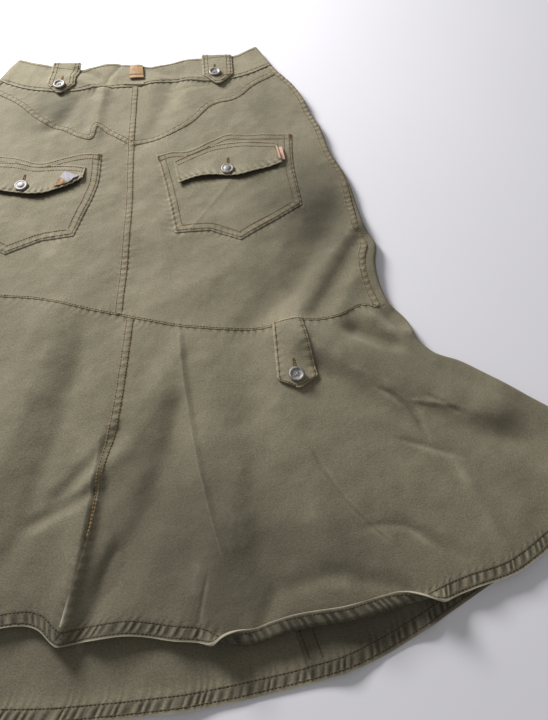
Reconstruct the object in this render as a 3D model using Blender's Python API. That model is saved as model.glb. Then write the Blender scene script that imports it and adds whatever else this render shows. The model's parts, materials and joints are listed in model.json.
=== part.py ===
"""A cargo utility skirt that lies flat with its back up.

Frame: +Z up from the surface it lies on, +Y towards the waist, +X to the right.
The tables below are in millimetres, as a maker measures them on the laid skirt:
across from the centre back, and down from the waist's top edge.
The upper layer is the back of the skirt. The front panels lie on the surface and
turn round the side edges on to the top, where they meet the back.
"""
from math import cos, pi, radians, sin

import bmesh
import bpy
import numpy as np

MM = 0.001                 # metres in a millimetre

# ---- driving sizes, millimetres -------------------------------------------------
WALL = 1.4                 # one layer of twill with its turnings
GAP = 0.3                  # between pieces, at seams and between layers
LAYER = WALL + GAP         # one piece lying on another
EASE = 0.9                 # more room under what lies on a folded panel
FLOOR_MID = WALL / 2       # middle of the front panels' wall
TOP_MID = 7.5              # middle of the upper layer's wall, away from its folds
HEM = 13                   # depth of the turned hem
HEM_WALL = 2.4             # the hem is two layers
BOX_MIDDLE = (1.96, 326.38)  # across, down: the middle of the laid skirt's box, its origin

# ---- seam lines on the laid skirt: across, down ---------------------------------
WAIST_TOP = [(-152, -22), (-118, -9), (-69, 3), (-35, -5), (0, 0), (35, 1), (61, -7),
             (92, -9), (125, -14), (153, -29)]
WAIST_SEAM = [(-171, 17), (-136, 34), (-92, 42), (-38, 39), (0, 38), (44, 29), (92, 35),
              (136, 26), (171, 8)]
YOKE_LEFT = [(0.5, 135), (-41, 106), (-47, 124), (-76, 108), (-105, 91), (-142, 56), (-179, 32)]
YOKE_RIGHT = [(0.5, 135), (33, 126), (68, 104), (95, 74), (119, 67), (142, 45), (178, 21)]
CENTRE_SEAM = [(0.5, 135), (4, 260), (2, 362)]
FLOUNCE_SEAM = [(-262, 338), (-200, 332), (-130, 333), (-71, 341), (-35, 352), (2, 362),
                (33, 371), (61, 378), (118, 384), (180, 382), (214, 376), (236, 364), (263, 363)]
SIDE_LEFT = [(-179, 32), (-197, 66), (-213, 110), (-229, 160), (-243, 205), (-252, 250),
             (-260, 290), (-257, 315), (-262, 338)]
SIDE_RIGHT = [(178, 21), (196, 48), (206, 72), (212, 95), (221, 121), (229, 163), (242, 199),
              (249, 241), (253, 270), (261, 293), (257, 318), (258, 341), (263, 363)]
FLARE_LEFT = [(-262, 338), (-276, 362), (-292, 388), (-330, 412), (-395, 460), (-456, 518)]
FLARE_RIGHT = [(263, 363), (277, 381), (284, 404), (295, 418), (318, 429), (352, 453),
               (405, 490), (460, 530)]
CENTRE_FLOUNCE = [(13.6, 367), (12, 394), (5, 475), (0, 502), (-6, 556), (-20, 621)]
FRONT_HEM = [(-456, 518), (-380, 588), (-313, 624), (-210, 660), (-100, 678), (20, 682),
             (120, 675), (210, 657), (257, 636), (313, 609), (380, 575), (460, 530)]
FRONT_FLOUNCE_SEAM = [(-262, 338), (-150, 378), (0, 402), (150, 392), (263, 363)]
FRONT_WAIST_TOP = [(-152, -22), (-100, 4), (0, 10), (100, 0), (153, -29)]
FRONT_WAIST_SEAM = [(-171, 17), (-100, 44), (0, 50), (100, 40), (171, 8)]
FRONT_JOINS = {"left": (-76, -160), "right": (76, 160)}    # across at the seam, at the hem
SEAM_INSETS = (6, 16, 12)  # of the side seam from the edge: waist, flounce seam, hem
FLY_WIDTH = 40
FLY_END = 200              # down to the foot of the front opening

# The line where the back hem's turning starts, and how far it is turned up there, in degrees
HEM_LINE = [
    # across, down, turn
    (-456, 518, 0), (-400, 553, 0), (-300, 590, 0), (-200, 607, 0), (-100, 613, 0),
    (-34, 611, 0), (-20, 621, 0), (0, 620, 0), (26, 618, 0), (60, 623, 0), (84, 627, 25),
    (98, 635, 120), (114, 639, 175), (150, 632, 180), (190, 628, 180), (226, 622, 175),
    (246, 617, 110), (262, 610, 12), (282, 604, 0), (313, 597, 0), (352, 577, 0),
    (405, 549, 0), (460, 530, 0),
]
HEM_BEND = 5.5             # length of cloth in the turn where the hem is folded up

# ---- main folds of the upper layer: a soft ridge or trough along a line ----------
FOLDS = [
    # from across, down, to across, down, bow, width left, width right, height;
    # left and right are a walker's, who goes along the line seen from above, feet at the start
    (49, 44, 20, 128, 4, 16, 18, -2.0),        # trough beside the centre, on the yoke
    (-38, 50, -42, 112, -2, 14, 20, 3.0),      # ridge that drags the left yoke
    (224, 246, 126, 384, 8, 20, 24, -2.2),     # long valley to the flounce seam
    (234, 280, 168, 372, 0, 16, 14, 3.5),
    (241, 292, 194, 363, 0, 12, 12, -1.5),
    (178, 402, 292, 456, -6, 22, 16, 6.5),     # ridge that the right flare rolls over
    (212, 430, 345, 496, 4, 14, 16, -2.0),
    (60, 470, 2, 572, 6, 22, 24, -2.2),
    (2, 500, -16, 630, 2, 18, 14, 5.0),        # ridge along the centre flounce seam
    (40, 400, 84, 600, -4, 30, 34, 4.0),
    (150, 440, 262, 590, 10, 34, 30, 3.5),
    (-60, 380, -120, 590, 6, 26, 30, 5.0),
    (-170, 400, -255, 575, -8, 26, 30, 5.5),
    (-235, 385, -380, 510, 6, 24, 24, 4.5),
    (-205, 240, -140, 330, 0, 22, 22, 3.0),
]

# ---- patch pockets: across, down ------------------------------------------------
POCKETS = {
    "right": {
        "top": [(31, 159), (48, 153), (66, 152), (91, 138), (112, 129), (135, 131), (186, 132)],
        "bottom": [(54, 267), (90, 270), (122, 281), (153, 262), (189, 238)],
        "inner": [(31, 159), (41, 201), (54, 267)],
        "outer": [(186, 132), (184, 175), (189, 238)],
        "flap_top": [(51, 170), (70, 158), (91, 148), (122, 144), (167, 147)],
        "flap_edge": [(57, 203), (73, 196), (95, 193), (124, 195), (145, 189), (172, 180)],
        "button": (111, 186),
    },
    "left": {
        "top": [(-32, 150), (-51, 149), (-71, 153), (-95, 161), (-130, 150), (-183, 141)],
        "bottom": [(-51, 265), (-80, 270), (-118, 284), (-150, 268), (-192, 238)],
        "inner": [(-32, 150), (-32, 190), (-51, 265)],
        "outer": [(-183, 141), (-183, 185), (-192, 238)],
        "flap_top": [(-47, 171), (-74, 167), (-95, 168), (-130, 160), (-167, 156)],
        "flap_edge": [(-48, 188), (-61, 198), (-77, 205), (-90, 209), (-125, 204), (-172, 190)],
        "button": (-112, 198),
    },
}

# ---- tabs: middle of the top, middle of the tip, width at the top and at the shoulders
TABS = {
    # name: (top), (tip), top width, shoulder width, shoulder back from tip, layers under it
    "waist_tab_right": ((101, -12), (103, 43), 38, 37, 17, 1),
    "waist_tab_left": ((-87, -7), (-92, 48), 35, 34, 16, 1),
    "flounce_tab_right": ((162, 380), (169, 448), 27, 37, 11, 1),
    "flounce_tab_left": ((-162, 334), (-170, 402), 27, 37, 11, 1),
}
BUTTONS = {
    # name: (place), layers of cloth under it
    "waist_button_right": ((99, 25), 2),
    "waist_button_left": ((-91, 36), 2),
    "flounce_button_right": ((167, 436), 2),
    "flounce_button_left": ((-168, 387), 2),
    "pocket_button_right": (POCKETS["right"]["button"], 4),
    "pocket_button_left": (POCKETS["left"]["button"], 4),
}
BUTTON_RADIUS = 7.2
BUTTON_HEIGHT = 2.6

FINISHES = {
    # name: colour, roughness, metallic
    "twill": ((0.29, 0.26, 0.19), 0.95, 0.0),
    "leather": ((0.52, 0.34, 0.19), 0.6, 0.0),
    "ribbon": ((0.58, 0.40, 0.32), 0.7, 0.0),
    "label": ((0.45, 0.36, 0.33), 0.8, 0.0),
    "metal": ((0.42, 0.40, 0.38), 0.4, 0.9),
}


# ---- lines ------------------------------------------------------------------------
def smooth(rows, count, start=0.0, end=1.0):
    """count + 1 points, evenly spaced along a smooth curve through the rows.

    start and end are shares of its length. Further columns are carried along.
    """
    rows = np.array(rows, dtype=float)
    chord = np.hypot(*np.diff(rows[:, :2], axis=0).T)
    knots = np.concatenate([[0], np.cumsum(chord)])
    slopes = np.gradient(rows, knots, axis=0)
    where = np.linspace(start, end, count + 1) * knots[-1]
    low = np.clip(np.searchsorted(knots, where, side="right") - 1, 0, len(chord) - 1)
    step = chord[low]
    t = (where - knots[low]) / step
    t, step = t[:, None], step[:, None]
    return ((2 * t**3 - 3 * t**2 + 1) * rows[low] + (t**3 - 2 * t**2 + t) * step * slopes[low]
            + (3 * t**2 - 2 * t**3) * rows[low + 1] + (t**3 - t**2) * step * slopes[low + 1])


def share_at(rows, across):
    """The share of a line's length at which it reaches a place across."""
    fine = smooth(rows, 2000)
    return np.argmin(np.abs(fine[:, 0] - across)) / 2000


def between(rows, across_from, across_to, count):
    """The stretch of a line from one place across to another."""
    return smooth(rows, count, share_at(rows, across_from), share_at(rows, across_to))


def patch(top, bottom, left, right):
    """The Coons patch of four lines: rows run down, columns run across."""
    u = np.linspace(0, 1, len(top))[None, :, None]
    v = np.linspace(0, 1, len(left))[:, None, None]
    across = (1 - v) * top[None] + v * bottom[None]
    down = (1 - u) * left[:, None] + u * right[:, None]
    corners = ((1 - u) * (1 - v) * top[0] + u * (1 - v) * top[-1]
               + (1 - u) * v * bottom[0] + u * v * bottom[-1])
    return across + down - corners


def trim(grid, amount=GAP / 2):
    """A patch with each edge drawn in, which leaves the gap at its seams."""
    grid = grid.copy()
    for edge, inner in ((grid[0], grid[1]), (grid[-1], grid[-2]),
                        (grid[:, 0], grid[:, 1]), (grid[:, -1], grid[:, -2])):
        way = inner - edge
        edge += way / np.linalg.norm(way, axis=-1, keepdims=True) * amount
    return grid


def side_normal(line, side):
    """Unit steps outwards from a side line, in the plan; side is -1 left, 1 right."""
    along = np.gradient(line, axis=0)
    out = np.stack([along[:, 1], -along[:, 0]], axis=1) * side
    return out / np.linalg.norm(out, axis=1, keepdims=True)


# ---- height of the upper layer -----------------------------------------------------
def fold_height(plan):
    """Sum of the soft ridges and troughs at each place of the plan."""
    total = np.zeros(plan.shape[:-1])
    for x0, d0, x1, d1, bow, left_width, right_width, height in FOLDS:
        along = np.array([x1 - x0, d1 - d0], dtype=float)
        length = np.hypot(*along)
        along /= length
        across = np.array([along[1], -along[0]])
        rel = plan - np.array([x0, d0])
        s = rel @ along / length
        off = rel @ across - bow * 4 * s * (1 - s)
        width = np.where(off < 0, right_width, left_width)
        past = np.maximum(np.maximum(-s, s - 1), 0) * length
        total += height * np.exp(-(off / width) ** 2 - (past / 25) ** 2)
    return total


def lift(plan, layers=0):
    """Height of the middle of a wall that lies on the given number of layers."""
    return TOP_MID + fold_height(plan) + layers * LAYER + min(layers, 1) * EASE


# ---- solids ---------------------------------------------------------------------------
def to_world(points):
    """Across, down, height in millimetres to metres in the skirt's frame."""
    x, down, z = np.moveaxis(points, -1, 0)
    return np.stack([x - BOX_MIDDLE[0], BOX_MIDDLE[1] - down, z], axis=-1) * MM


def finish(obj, kind):
    """Give an object its own material."""
    colour, roughness, metallic = FINISHES[kind]
    material = bpy.data.materials.new(obj.name + "_" + kind)
    material.use_nodes = True
    shader = material.node_tree.nodes["Principled BSDF"]
    shader.inputs["Base Color"].default_value = (*colour, 1)
    shader.inputs["Roughness"].default_value = roughness
    shader.inputs["Metallic"].default_value = metallic
    obj.data.materials.append(material)


def add_object(name, bm, kind):
    """Close off a bmesh as a named object with its faces outwards."""
    bmesh.ops.recalc_face_normals(bm, faces=bm.faces)
    mesh = bpy.data.meshes.new(name)
    bm.to_mesh(mesh)
    bm.free()
    mesh.shade_smooth()
    mesh.set_sharp_from_angle(angle=radians(50))
    obj = bpy.data.objects.new(name, mesh)
    bpy.context.scene.collection.objects.link(obj)
    finish(obj, kind)
    return obj


def shell(name, middle, out, wall=WALL, kind="twill"):
    """A closed wall of cloth round a grid of middle points.

    out holds the unit direction through the wall at each point.
    """
    rows, columns = middle.shape[:2]
    wall = np.broadcast_to(wall, middle.shape[:2])[..., None]
    bm = bmesh.new()
    sheets = []
    for sign in (1, -1):
        points = to_world(middle + sign * out * wall / 2).reshape(-1, 3)
        sheets.append([bm.verts.new(p) for p in points])

    def quad(sheet, r, c):
        corners = ((r, c), (r + 1, c), (r + 1, c + 1), (r, c + 1))
        bm.faces.new([sheet[i * columns + j] for i, j in corners])

    for sheet in sheets:
        for r in range(rows - 1):
            for c in range(columns - 1):
                quad(sheet, r, c)
    rim = [(0, c) for c in range(columns)] + [(r, columns - 1) for r in range(1, rows)]
    rim += [(rows - 1, c) for c in range(columns - 2, -1, -1)]
    rim += [(r, 0) for r in range(rows - 2, 0, -1)]
    ends = [i * columns + j for i, j in rim]
    for a, b in zip(ends, ends[1:] + ends[:1]):
        bm.faces.new([sheets[0][a], sheets[0][b], sheets[1][b], sheets[1][a]])
    return add_object(name, bm, kind)


def upright(grid):
    """Straight-up directions for every point of a grid."""
    return np.broadcast_to([0.0, 0.0, 1.0], (*grid.shape[:2], 3))


def laid(name, plan, layers=0, kind="twill", wall=WALL, raise_rows=None):
    """A piece that follows the upper layer, on top of the given number of layers."""
    height = lift(plan, layers)
    if raise_rows is not None:
        height = height + np.asarray(raise_rows)[:, None]
    middle = np.concatenate([plan, height[..., None]], axis=-1)
    return shell(name, middle, upright(middle), wall, kind)


# ---- the side edges ---------------------------------------------------------------------
SIDES = {"left": -1, "right": 1}
BAND_ROWS, BACK_ROWS, FLOUNCE_ROWS = 3, 17, 13
BAND_PART = slice(0, BAND_ROWS + 1)
YOKE_PART = slice(BAND_ROWS, BAND_ROWS + 2)
BACK_PART = slice(BAND_ROWS + 1, BAND_ROWS + BACK_ROWS + 2)
FRONT_PART = slice(BAND_ROWS, BAND_ROWS + BACK_ROWS + 2)
FLARE_PART = slice(BAND_ROWS + BACK_ROWS + 1, None)


class SideEdge:
    """One whole side edge, from the waist to the hem, with its side seam on top."""

    def __init__(self, side):
        self.sign = SIDES[side]
        end = 0 if side == "left" else -1
        back, flare = (SIDE_LEFT, FLARE_LEFT) if side == "left" else (SIDE_RIGHT, FLARE_RIGHT)
        band = np.linspace(WAIST_TOP[end], WAIST_SEAM[end], BAND_ROWS + 1)
        length = np.hypot(*np.diff(smooth(flare, 200), axis=0).T).sum()
        self.body_share = 1 - HEM / length
        self.line = np.vstack([
            band, smooth(back, BACK_ROWS),
            smooth(flare, FLOUNCE_ROWS, 0, self.body_share)[1:], flare[-1:]])
        self.normal = side_normal(self.line, self.sign)
        marks = [0, FLARE_PART.start, len(self.line) - 1]
        self.inset = np.interp(np.arange(len(self.line)), marks, SEAM_INSETS)
        self.seam = self.line - self.normal * self.inset[:, None]
        self.height = lift(self.seam)
        self.radius = (self.height - FLOOR_MID) / 2

    def turn(self, part, upwards=True):
        """Middle points and directions round the edge, one column for each step."""
        line, normal, radius = self.line[part], self.normal[part], self.radius[part]
        for angle in np.linspace(-pi / 2, pi / 2, 7) * (1 if upwards else -1):
            place = line + normal * ((cos(angle) - 1) * radius)[:, None]
            height = FLOOR_MID + radius * (1 + sin(angle))
            out = np.column_stack([normal * cos(angle), np.full(len(line), sin(angle))])
            yield np.column_stack([place, height]), out


def wrapped(name, edge, part, top, foot, walls=WALL):
    """A front piece: flat on the surface, round the side edge, and up to the side seam.

    top and foot are each a line and the place across where the piece starts on it.
    """
    columns = list(edge.turn(part))
    start = columns[0][0][:, :2]
    steps = np.hypot(*np.diff(edge.line[part], axis=0).T)
    rows_down = np.concatenate([[0], np.cumsum(steps)])
    top_line, top_from = top
    foot_line, foot_from = foot
    top = half(top_line, top_from, start[0], FRONT_COLUMNS)
    foot = half(foot_line, foot_from, start[-1], FRONT_COLUMNS)
    share = (rows_down / rows_down[-1])[:, None]
    flat = patch(top, foot, top[0] * (1 - share) + foot[0] * share, start)
    floor = np.full((*flat.shape[:2], 1), FLOOR_MID)
    seam = np.column_stack([edge.seam[part] + edge.normal[part] * GAP / 2, edge.height[part]])
    down = np.tile([0.0, 0.0, -1.0], (*flat.shape[:2], 1))
    up = np.tile([0.0, 0.0, 1.0], (len(start), 1, 1))
    turn = np.stack([middle for middle, _ in columns[1:]], axis=1)
    turn_out = np.stack([out for _, out in columns[1:]], axis=1)
    middle = np.concatenate([np.concatenate([flat, floor], axis=-1), turn, seam[:, None]], axis=1)
    out = np.concatenate([down, turn_out, up], axis=1)
    for row, inner in ((0, 1), (-1, -2)):
        way = middle[inner] - middle[row]
        middle[row] += way / np.linalg.norm(way, axis=-1, keepdims=True) * GAP / 2
    middle[:, 0, 0] += edge.sign * GAP / 2
    walls = np.broadcast_to(walls, len(start))[:, None] * np.ones(middle.shape[1])
    middle -= out * (walls - WALL)[..., None] / 2      # the hem is thicker on its inside
    return shell(name, middle, out, walls)


# ---- pieces ---------------------------------------------------------------------------
YOKE_ROWS, BACK_COLUMNS, FRONT_COLUMNS = 5, 11, 8


def half(rows, middle_across, end, count):
    """The stretch of a line from a place across to an end point that lies near it.

    Over its last 40 mm the line is eased on to the end point.
    """
    line = between(rows, middle_across, end[0], count)
    away = np.hypot(*(line[:, :2] - line[-1, :2]).T)
    line[:, :2] += (np.clip(1 - away / 40, 0, 1)**2)[:, None] * (end - line[-1, :2])
    return line


def flounce_seam(side, edge):
    """The back panel's points along its seam with the flounce."""
    return half(FLOUNCE_SEAM, CENTRE_SEAM[-1][0], edge.seam[BACK_PART][-1], BACK_COLUMNS)


def make_backs(side, edge):
    """Yoke, back panel and front panel, which share the side edge's points."""
    seam = edge.seam
    yoke_rows = YOKE_LEFT if side == "left" else YOKE_RIGHT
    yoke_line = half(yoke_rows, yoke_rows[0][0], seam[BACK_PART][0], BACK_COLUMNS)
    waist = half(WAIST_SEAM, 0, seam[YOKE_PART][0], BACK_COLUMNS)
    centre_top = np.linspace(waist[0], yoke_line[0], YOKE_ROWS + 1)
    end = np.linspace(*seam[YOKE_PART], YOKE_ROWS + 1)
    laid("yoke_" + side, trim(patch(waist, yoke_line, centre_top, end)))
    foot = flounce_seam(side, edge)
    centre = smooth(CENTRE_SEAM, BACK_ROWS)
    laid("back_" + side, trim(patch(yoke_line, foot, centre, seam[BACK_PART])))
    wrapped("front_" + side, edge, FRONT_PART, (FRONT_WAIST_SEAM, 0), (FRONT_FLOUNCE_SEAM, 0))


def make_flounces(side, edge, seam_points):
    """A back flounce half with its hem, and the front flounce's side panel.

    seam_points are both back panels' points along the seam, which its top lies on.
    """
    seam = edge.seam[FLARE_PART]
    join = CENTRE_FLOUNCE[0][0]
    beyond = seam_points[(seam_points[:, 0] - join) * edge.sign > 0][::edge.sign]
    middles = (beyond[:-1] + beyond[1:]) / 2
    across = np.concatenate([[join], np.sort(np.concatenate([beyond, middles])[:, 0])[::edge.sign]])
    top = np.column_stack([across, np.interp(across, *seam_points.T)])
    line = half(HEM_LINE, CENTRE_FLOUNCE[-1][0], seam[-2], len(top) - 1)
    hinge = line[:, :2]
    centre = smooth(CENTRE_FLOUNCE, FLOUNCE_ROWS)
    share = np.linspace(0, 1, FLOUNCE_ROWS + 1)[:, None]
    centre = centre + (hinge[0] - centre[-1]) * share + (top[0] - centre[0]) * (1 - share)
    plan = trim(patch(top, hinge, centre, seam[:-1]))
    add_back_flounce("flounce_back_" + side, plan, np.radians(line[:, 2]))
    join_top, join_foot = FRONT_JOINS[side]
    walls = np.append(np.full(FLOUNCE_ROWS, WALL), (WALL, HEM_WALL))
    wrapped("flounce_front_" + side, edge, FLARE_PART, (FRONT_FLOUNCE_SEAM, join_top),
            (FRONT_HEM, join_foot), walls)


def add_back_flounce(name, plan, turn):
    """A flounce half: its plan down to the hem line, then the hem, flat or turned up."""
    height = lift(plan)
    middle = np.concatenate([plan, height[..., None]], axis=-1)
    way = middle[-1] - middle[-2]
    way /= np.linalg.norm(way, axis=-1, keepdims=True)
    rise = np.cross(np.cross(way, [0, 0, 1.0]), way)
    rise /= np.linalg.norm(rise, axis=-1, keepdims=True)
    rows, outs = [middle[-1]], [np.tile([0.0, 0.0, 1.0], (len(turn), 1))]
    steps = np.append(np.linspace(0, HEM_BEND, 5)[1:], HEM)
    last = 0.0
    for step in steps:
        bend = turn * min(step, HEM_BEND) / HEM_BEND
        mid_bend = turn * min((step + last) / 2, HEM_BEND) / HEM_BEND
        ahead = np.cos(mid_bend)[:, None] * way + np.sin(mid_bend)[:, None] * rise
        rows.append(rows[-1] + ahead * (step - last))
        outs.append(np.cos(bend)[:, None] * rise - np.sin(bend)[:, None] * way)
        last = step
    middle = np.concatenate([middle, np.stack(rows[1:])])
    out = np.concatenate([upright(height[..., None]), np.stack(outs[1:])])
    shell(name, middle, out)


def make_front_centre():
    """The front flounce's centre panel and the fly shield, flat on the surface."""
    (left_top, left_foot), (right_top, right_foot) = FRONT_JOINS["left"], FRONT_JOINS["right"]
    top = between(FRONT_FLOUNCE_SEAM, left_top, right_top, 6)
    foot = between(FRONT_HEM, left_foot, right_foot, 8)[[0, 1, 2, 4, 6, 7, 8]]
    share = np.append(np.linspace(0, 1 - HEM / 275, 7), 1)[:, None, None]
    plan = trim((1 - share) * top[None] + share * foot[None])
    walls = np.full(plan.shape[:2], WALL)
    walls[-1] = HEM_WALL
    middle = np.concatenate([plan, walls[..., None] / 2], axis=-1)
    shell("flounce_front_centre", middle, upright(middle), walls)

    columns = np.linspace(-FLY_WIDTH / 2, FLY_WIDTH / 2, 3)
    rows = np.linspace(FRONT_WAIST_SEAM[2][1] + 4, FLY_END, 5)
    plan = np.stack(np.meshgrid(columns, rows), axis=-1)
    height = np.full((*plan.shape[:2], 1), FLOOR_MID + LAYER)
    middle = np.concatenate([plan, height], axis=-1)
    shell("fly_shield", middle, upright(middle))


BAND_COLUMNS = 24
BAND_LAP = 0.08            # the share of the front's width where the band's ends lap


def make_waistband(edges):
    """One band round the whole waist; its ends lap at the centre front."""
    down = np.linspace(0, 1, BAND_ROWS + 1)[:, None]
    back_top, back_seam = smooth(WAIST_TOP, BAND_COLUMNS), smooth(WAIST_SEAM, BAND_COLUMNS)
    columns = []

    def front_column(share, height):
        """A column on the surface, at a share of the front's width from the left."""
        top, seam = (smooth(rows, 1, share, share)[0] for rows in (FRONT_WAIST_TOP, FRONT_WAIST_SEAM))
        place = top * (1 - down) + seam * down
        middle = np.column_stack([place, np.full(len(place), FLOOR_MID + height)])
        columns.append((middle, np.tile([0.0, 0.0, -1.0], (len(place), 1))))

    lap_start, lap_end = 0.5 + BAND_LAP / 2, 0.5 - BAND_LAP / 2
    for share in (lap_start, 0.5, lap_end):
        front_column(share, LAYER)
    for share in np.linspace(lap_end - BAND_LAP, 0.05, 6):
        front_column(share, 0)
    columns += edges["left"].turn(BAND_PART)
    for top, seam in zip(back_top[1:-1], back_seam[1:-1]):
        place = top * (1 - down) + seam * down
        middle = np.column_stack([place, lift(place)])
        columns.append((middle, np.tile([0.0, 0.0, 1.0], (len(place), 1))))
    columns += edges["right"].turn(BAND_PART, upwards=False)
    for share in np.linspace(0.95, lap_end, 8):
        front_column(share, 0)
    middle = np.stack([column for column, _ in columns], axis=1)
    out = np.stack([direction for _, direction in columns], axis=1)
    way = middle[-2] - middle[-1]
    middle[-1] += way / np.linalg.norm(way, axis=-1, keepdims=True) * GAP
    shell("waistband", middle, out)


def make_pockets():
    """Patch pockets and their flaps, made from the panel's height and moved out."""
    for side, lines in POCKETS.items():
        top, bottom = smooth(lines["top"], 10), smooth(lines["bottom"], 10)
        inner, outer = smooth(lines["inner"], 7), smooth(lines["outer"], 7)
        laid("pocket_" + side, patch(top, bottom, inner, outer), 1)
        top, edge = smooth(lines["flap_top"], 10), smooth(lines["flap_edge"], 10)
        share = np.linspace(0, 1, 4)[:, None, None]
        plan = (1 - share) * top[None] + share * edge[None]
        laid("pocket_flap_" + side, plan, 2, raise_rows=(0, 0, 0.4, 1.2))


def tab_plan(top, tip, top_width, shoulder_width, shoulder_back):
    """A tab's grid: straight to its shoulders, then to a blunt point."""
    top, tip = np.array(top, dtype=float), np.array(tip, dtype=float)
    along = tip - top
    length = np.hypot(*along)
    along /= length
    across = np.array([along[1], -along[0]])
    stations = [
        # distance from the top, half width
        (0, top_width / 2), ((length - shoulder_back) / 2, (top_width + shoulder_width) / 4),
        (length - shoulder_back, shoulder_width / 2), (length, shoulder_width / 6),
    ]
    return np.stack([[top + along * s + across * w * t for t in (-1, -0.5, 0, 0.5, 1)]
                     for s, w in stations])


def make_tabs():
    """Waist tabs and flounce tabs."""
    for name, (top, tip, top_width, shoulder, back, layers) in TABS.items():
        laid(name, tab_plan(top, tip, top_width, shoulder, back), layers)


def make_button(name, place, layers):
    """A button with a raised rim, turned about its own axis."""
    radius, height = BUTTON_RADIUS, BUTTON_HEIGHT
    profile = [(0, 0), (0.72, 0), (0.95, 0.25), (1, 0.6), (0.92, 0.95), (0.8, 1), (0.68, 0.72), (0, 0.62)]
    turns = np.linspace(0, 2 * pi, 13)
    ring = np.array(place) + radius * np.stack([np.cos(turns), np.sin(turns)], axis=1)
    base = lift(ring, layers).max() - WALL / 2 + GAP
    x, y, z = to_world(np.array([*place, base]))
    bm = bmesh.new()
    ring = [bm.verts.new((x + r * radius * MM, y, z + h * height * MM)) for r, h in profile]
    edges = [bm.edges.new(pair) for pair in zip(ring, ring[1:])]
    bmesh.ops.spin(bm, geom=ring + edges, cent=(x, y, z), axis=(0, 0, 1), angle=2 * pi,
                   steps=16, use_merge=True)
    bmesh.ops.remove_doubles(bm, verts=bm.verts, dist=0.00001)
    add_object(name, bm, "metal")


def make_strip(name, corners, layers, kind, wall, arch=0.0):
    """A small four-cornered strip; arch lifts its middle."""
    a, b, c, d = (np.array(corner, dtype=float) for corner in corners)
    plan = patch(np.linspace(a, b, 5), np.linspace(d, c, 5), np.linspace(a, d, 5),
                 np.linspace(b, c, 5))
    laid(name, plan, layers, kind, wall, arch * np.sin(np.linspace(0, pi, 5)))


def make_trim():
    """The leather loop, the ribbon and label at the flaps, and the hook."""
    make_strip("centre_loop", ((-8, 1), (8, 0), (11, 27), (-8, 27)), 1, "leather", 1.8, 0.4)
    make_strip("loop_bar", ((-15, 31), (12, 33), (12, 37.5), (-15, 35.5)), 1, "twill", WALL)
    make_strip("flap_tag_right", ((166.5, 156), (173, 157), (175.5, 176), (168.5, 176.5)), 4, "ribbon", 1.2)
    make_strip("flap_label_left", ((-52, 186), (-68.5, 179), (-76.5, 202), (-62, 197)), 4, "label", 1.2)
    hook = np.stack(np.meshgrid(np.linspace(-6, 6, 2), np.linspace(22, 30, 2)), axis=-1)
    wall = 0.8
    height = np.full((2, 2, 1), FLOOR_MID + LAYER + WALL / 2 + GAP + wall / 2)
    middle = np.concatenate([hook, height], axis=-1)
    shell("waist_hook", middle, upright(middle), wall, "metal")


def main():
    for obj in list(bpy.data.objects):
        bpy.data.objects.remove(obj, do_unlink=True)
    edges = {side: SideEdge(side) for side in SIDES}
    make_waistband(edges)
    left, right = (flounce_seam(side, edge) for side, edge in edges.items())
    for side, edge in edges.items():
        make_backs(side, edge)
        make_flounces(side, edge, np.vstack([left[::-1], right]))
    make_front_centre()
    make_pockets()
    make_tabs()
    for name, (place, layers) in BUTTONS.items():
        make_button(name, place, layers)
    make_trim()


main()
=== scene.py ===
# %% [markdown]
# # A cargo utility skirt, laid flat with its back up
#
# The frame holds the skirt's solids: plain walls of the right size and place. This script gives
# them their looks: fine shells of washed twill with folds and puckered seams, thread, metal
# buttons, a leather loop and a label. Lengths in the tables are millimetres on the laid skirt,
# "across" from the centre back and "down" from the waist's top edge, as a maker measures them.

# %% Load the frame
import json
from math import cos, pi, radians, sin

import bmesh
import bpy
import numpy as np
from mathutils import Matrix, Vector
from mathutils.bvhtree import BVHTree

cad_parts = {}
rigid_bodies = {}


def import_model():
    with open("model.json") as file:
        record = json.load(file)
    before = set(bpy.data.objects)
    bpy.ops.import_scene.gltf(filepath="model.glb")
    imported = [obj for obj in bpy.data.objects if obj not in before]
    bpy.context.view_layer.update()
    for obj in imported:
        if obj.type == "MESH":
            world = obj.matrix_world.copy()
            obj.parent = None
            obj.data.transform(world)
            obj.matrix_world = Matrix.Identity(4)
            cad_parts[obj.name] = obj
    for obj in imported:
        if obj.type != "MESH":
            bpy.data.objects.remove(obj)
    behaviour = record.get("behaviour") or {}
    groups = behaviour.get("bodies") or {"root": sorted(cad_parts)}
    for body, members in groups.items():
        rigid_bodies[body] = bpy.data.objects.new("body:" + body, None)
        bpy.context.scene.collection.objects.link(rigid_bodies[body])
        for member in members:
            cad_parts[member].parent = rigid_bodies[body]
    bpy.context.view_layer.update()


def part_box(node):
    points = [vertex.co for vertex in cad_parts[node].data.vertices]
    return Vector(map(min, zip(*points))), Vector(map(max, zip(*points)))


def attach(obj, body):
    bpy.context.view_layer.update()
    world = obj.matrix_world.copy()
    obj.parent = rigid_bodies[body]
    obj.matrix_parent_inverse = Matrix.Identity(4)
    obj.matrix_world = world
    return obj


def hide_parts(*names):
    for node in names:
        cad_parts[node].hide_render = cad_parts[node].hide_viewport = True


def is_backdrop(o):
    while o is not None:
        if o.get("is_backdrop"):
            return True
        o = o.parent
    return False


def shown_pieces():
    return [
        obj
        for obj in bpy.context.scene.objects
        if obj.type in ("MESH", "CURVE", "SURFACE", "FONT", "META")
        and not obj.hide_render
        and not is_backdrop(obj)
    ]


for obj in list(bpy.data.objects):
    bpy.data.objects.remove(obj, do_unlink=True)
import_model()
MM = 0.001

# %% [markdown]
# ## Where the tables' zero lies
# The CAD box tells where the middle of the skirt is, so the tables' zero, the waist's top centre
# back, is found from the frame: the band's solid and the centre loop both mark it.

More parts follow.
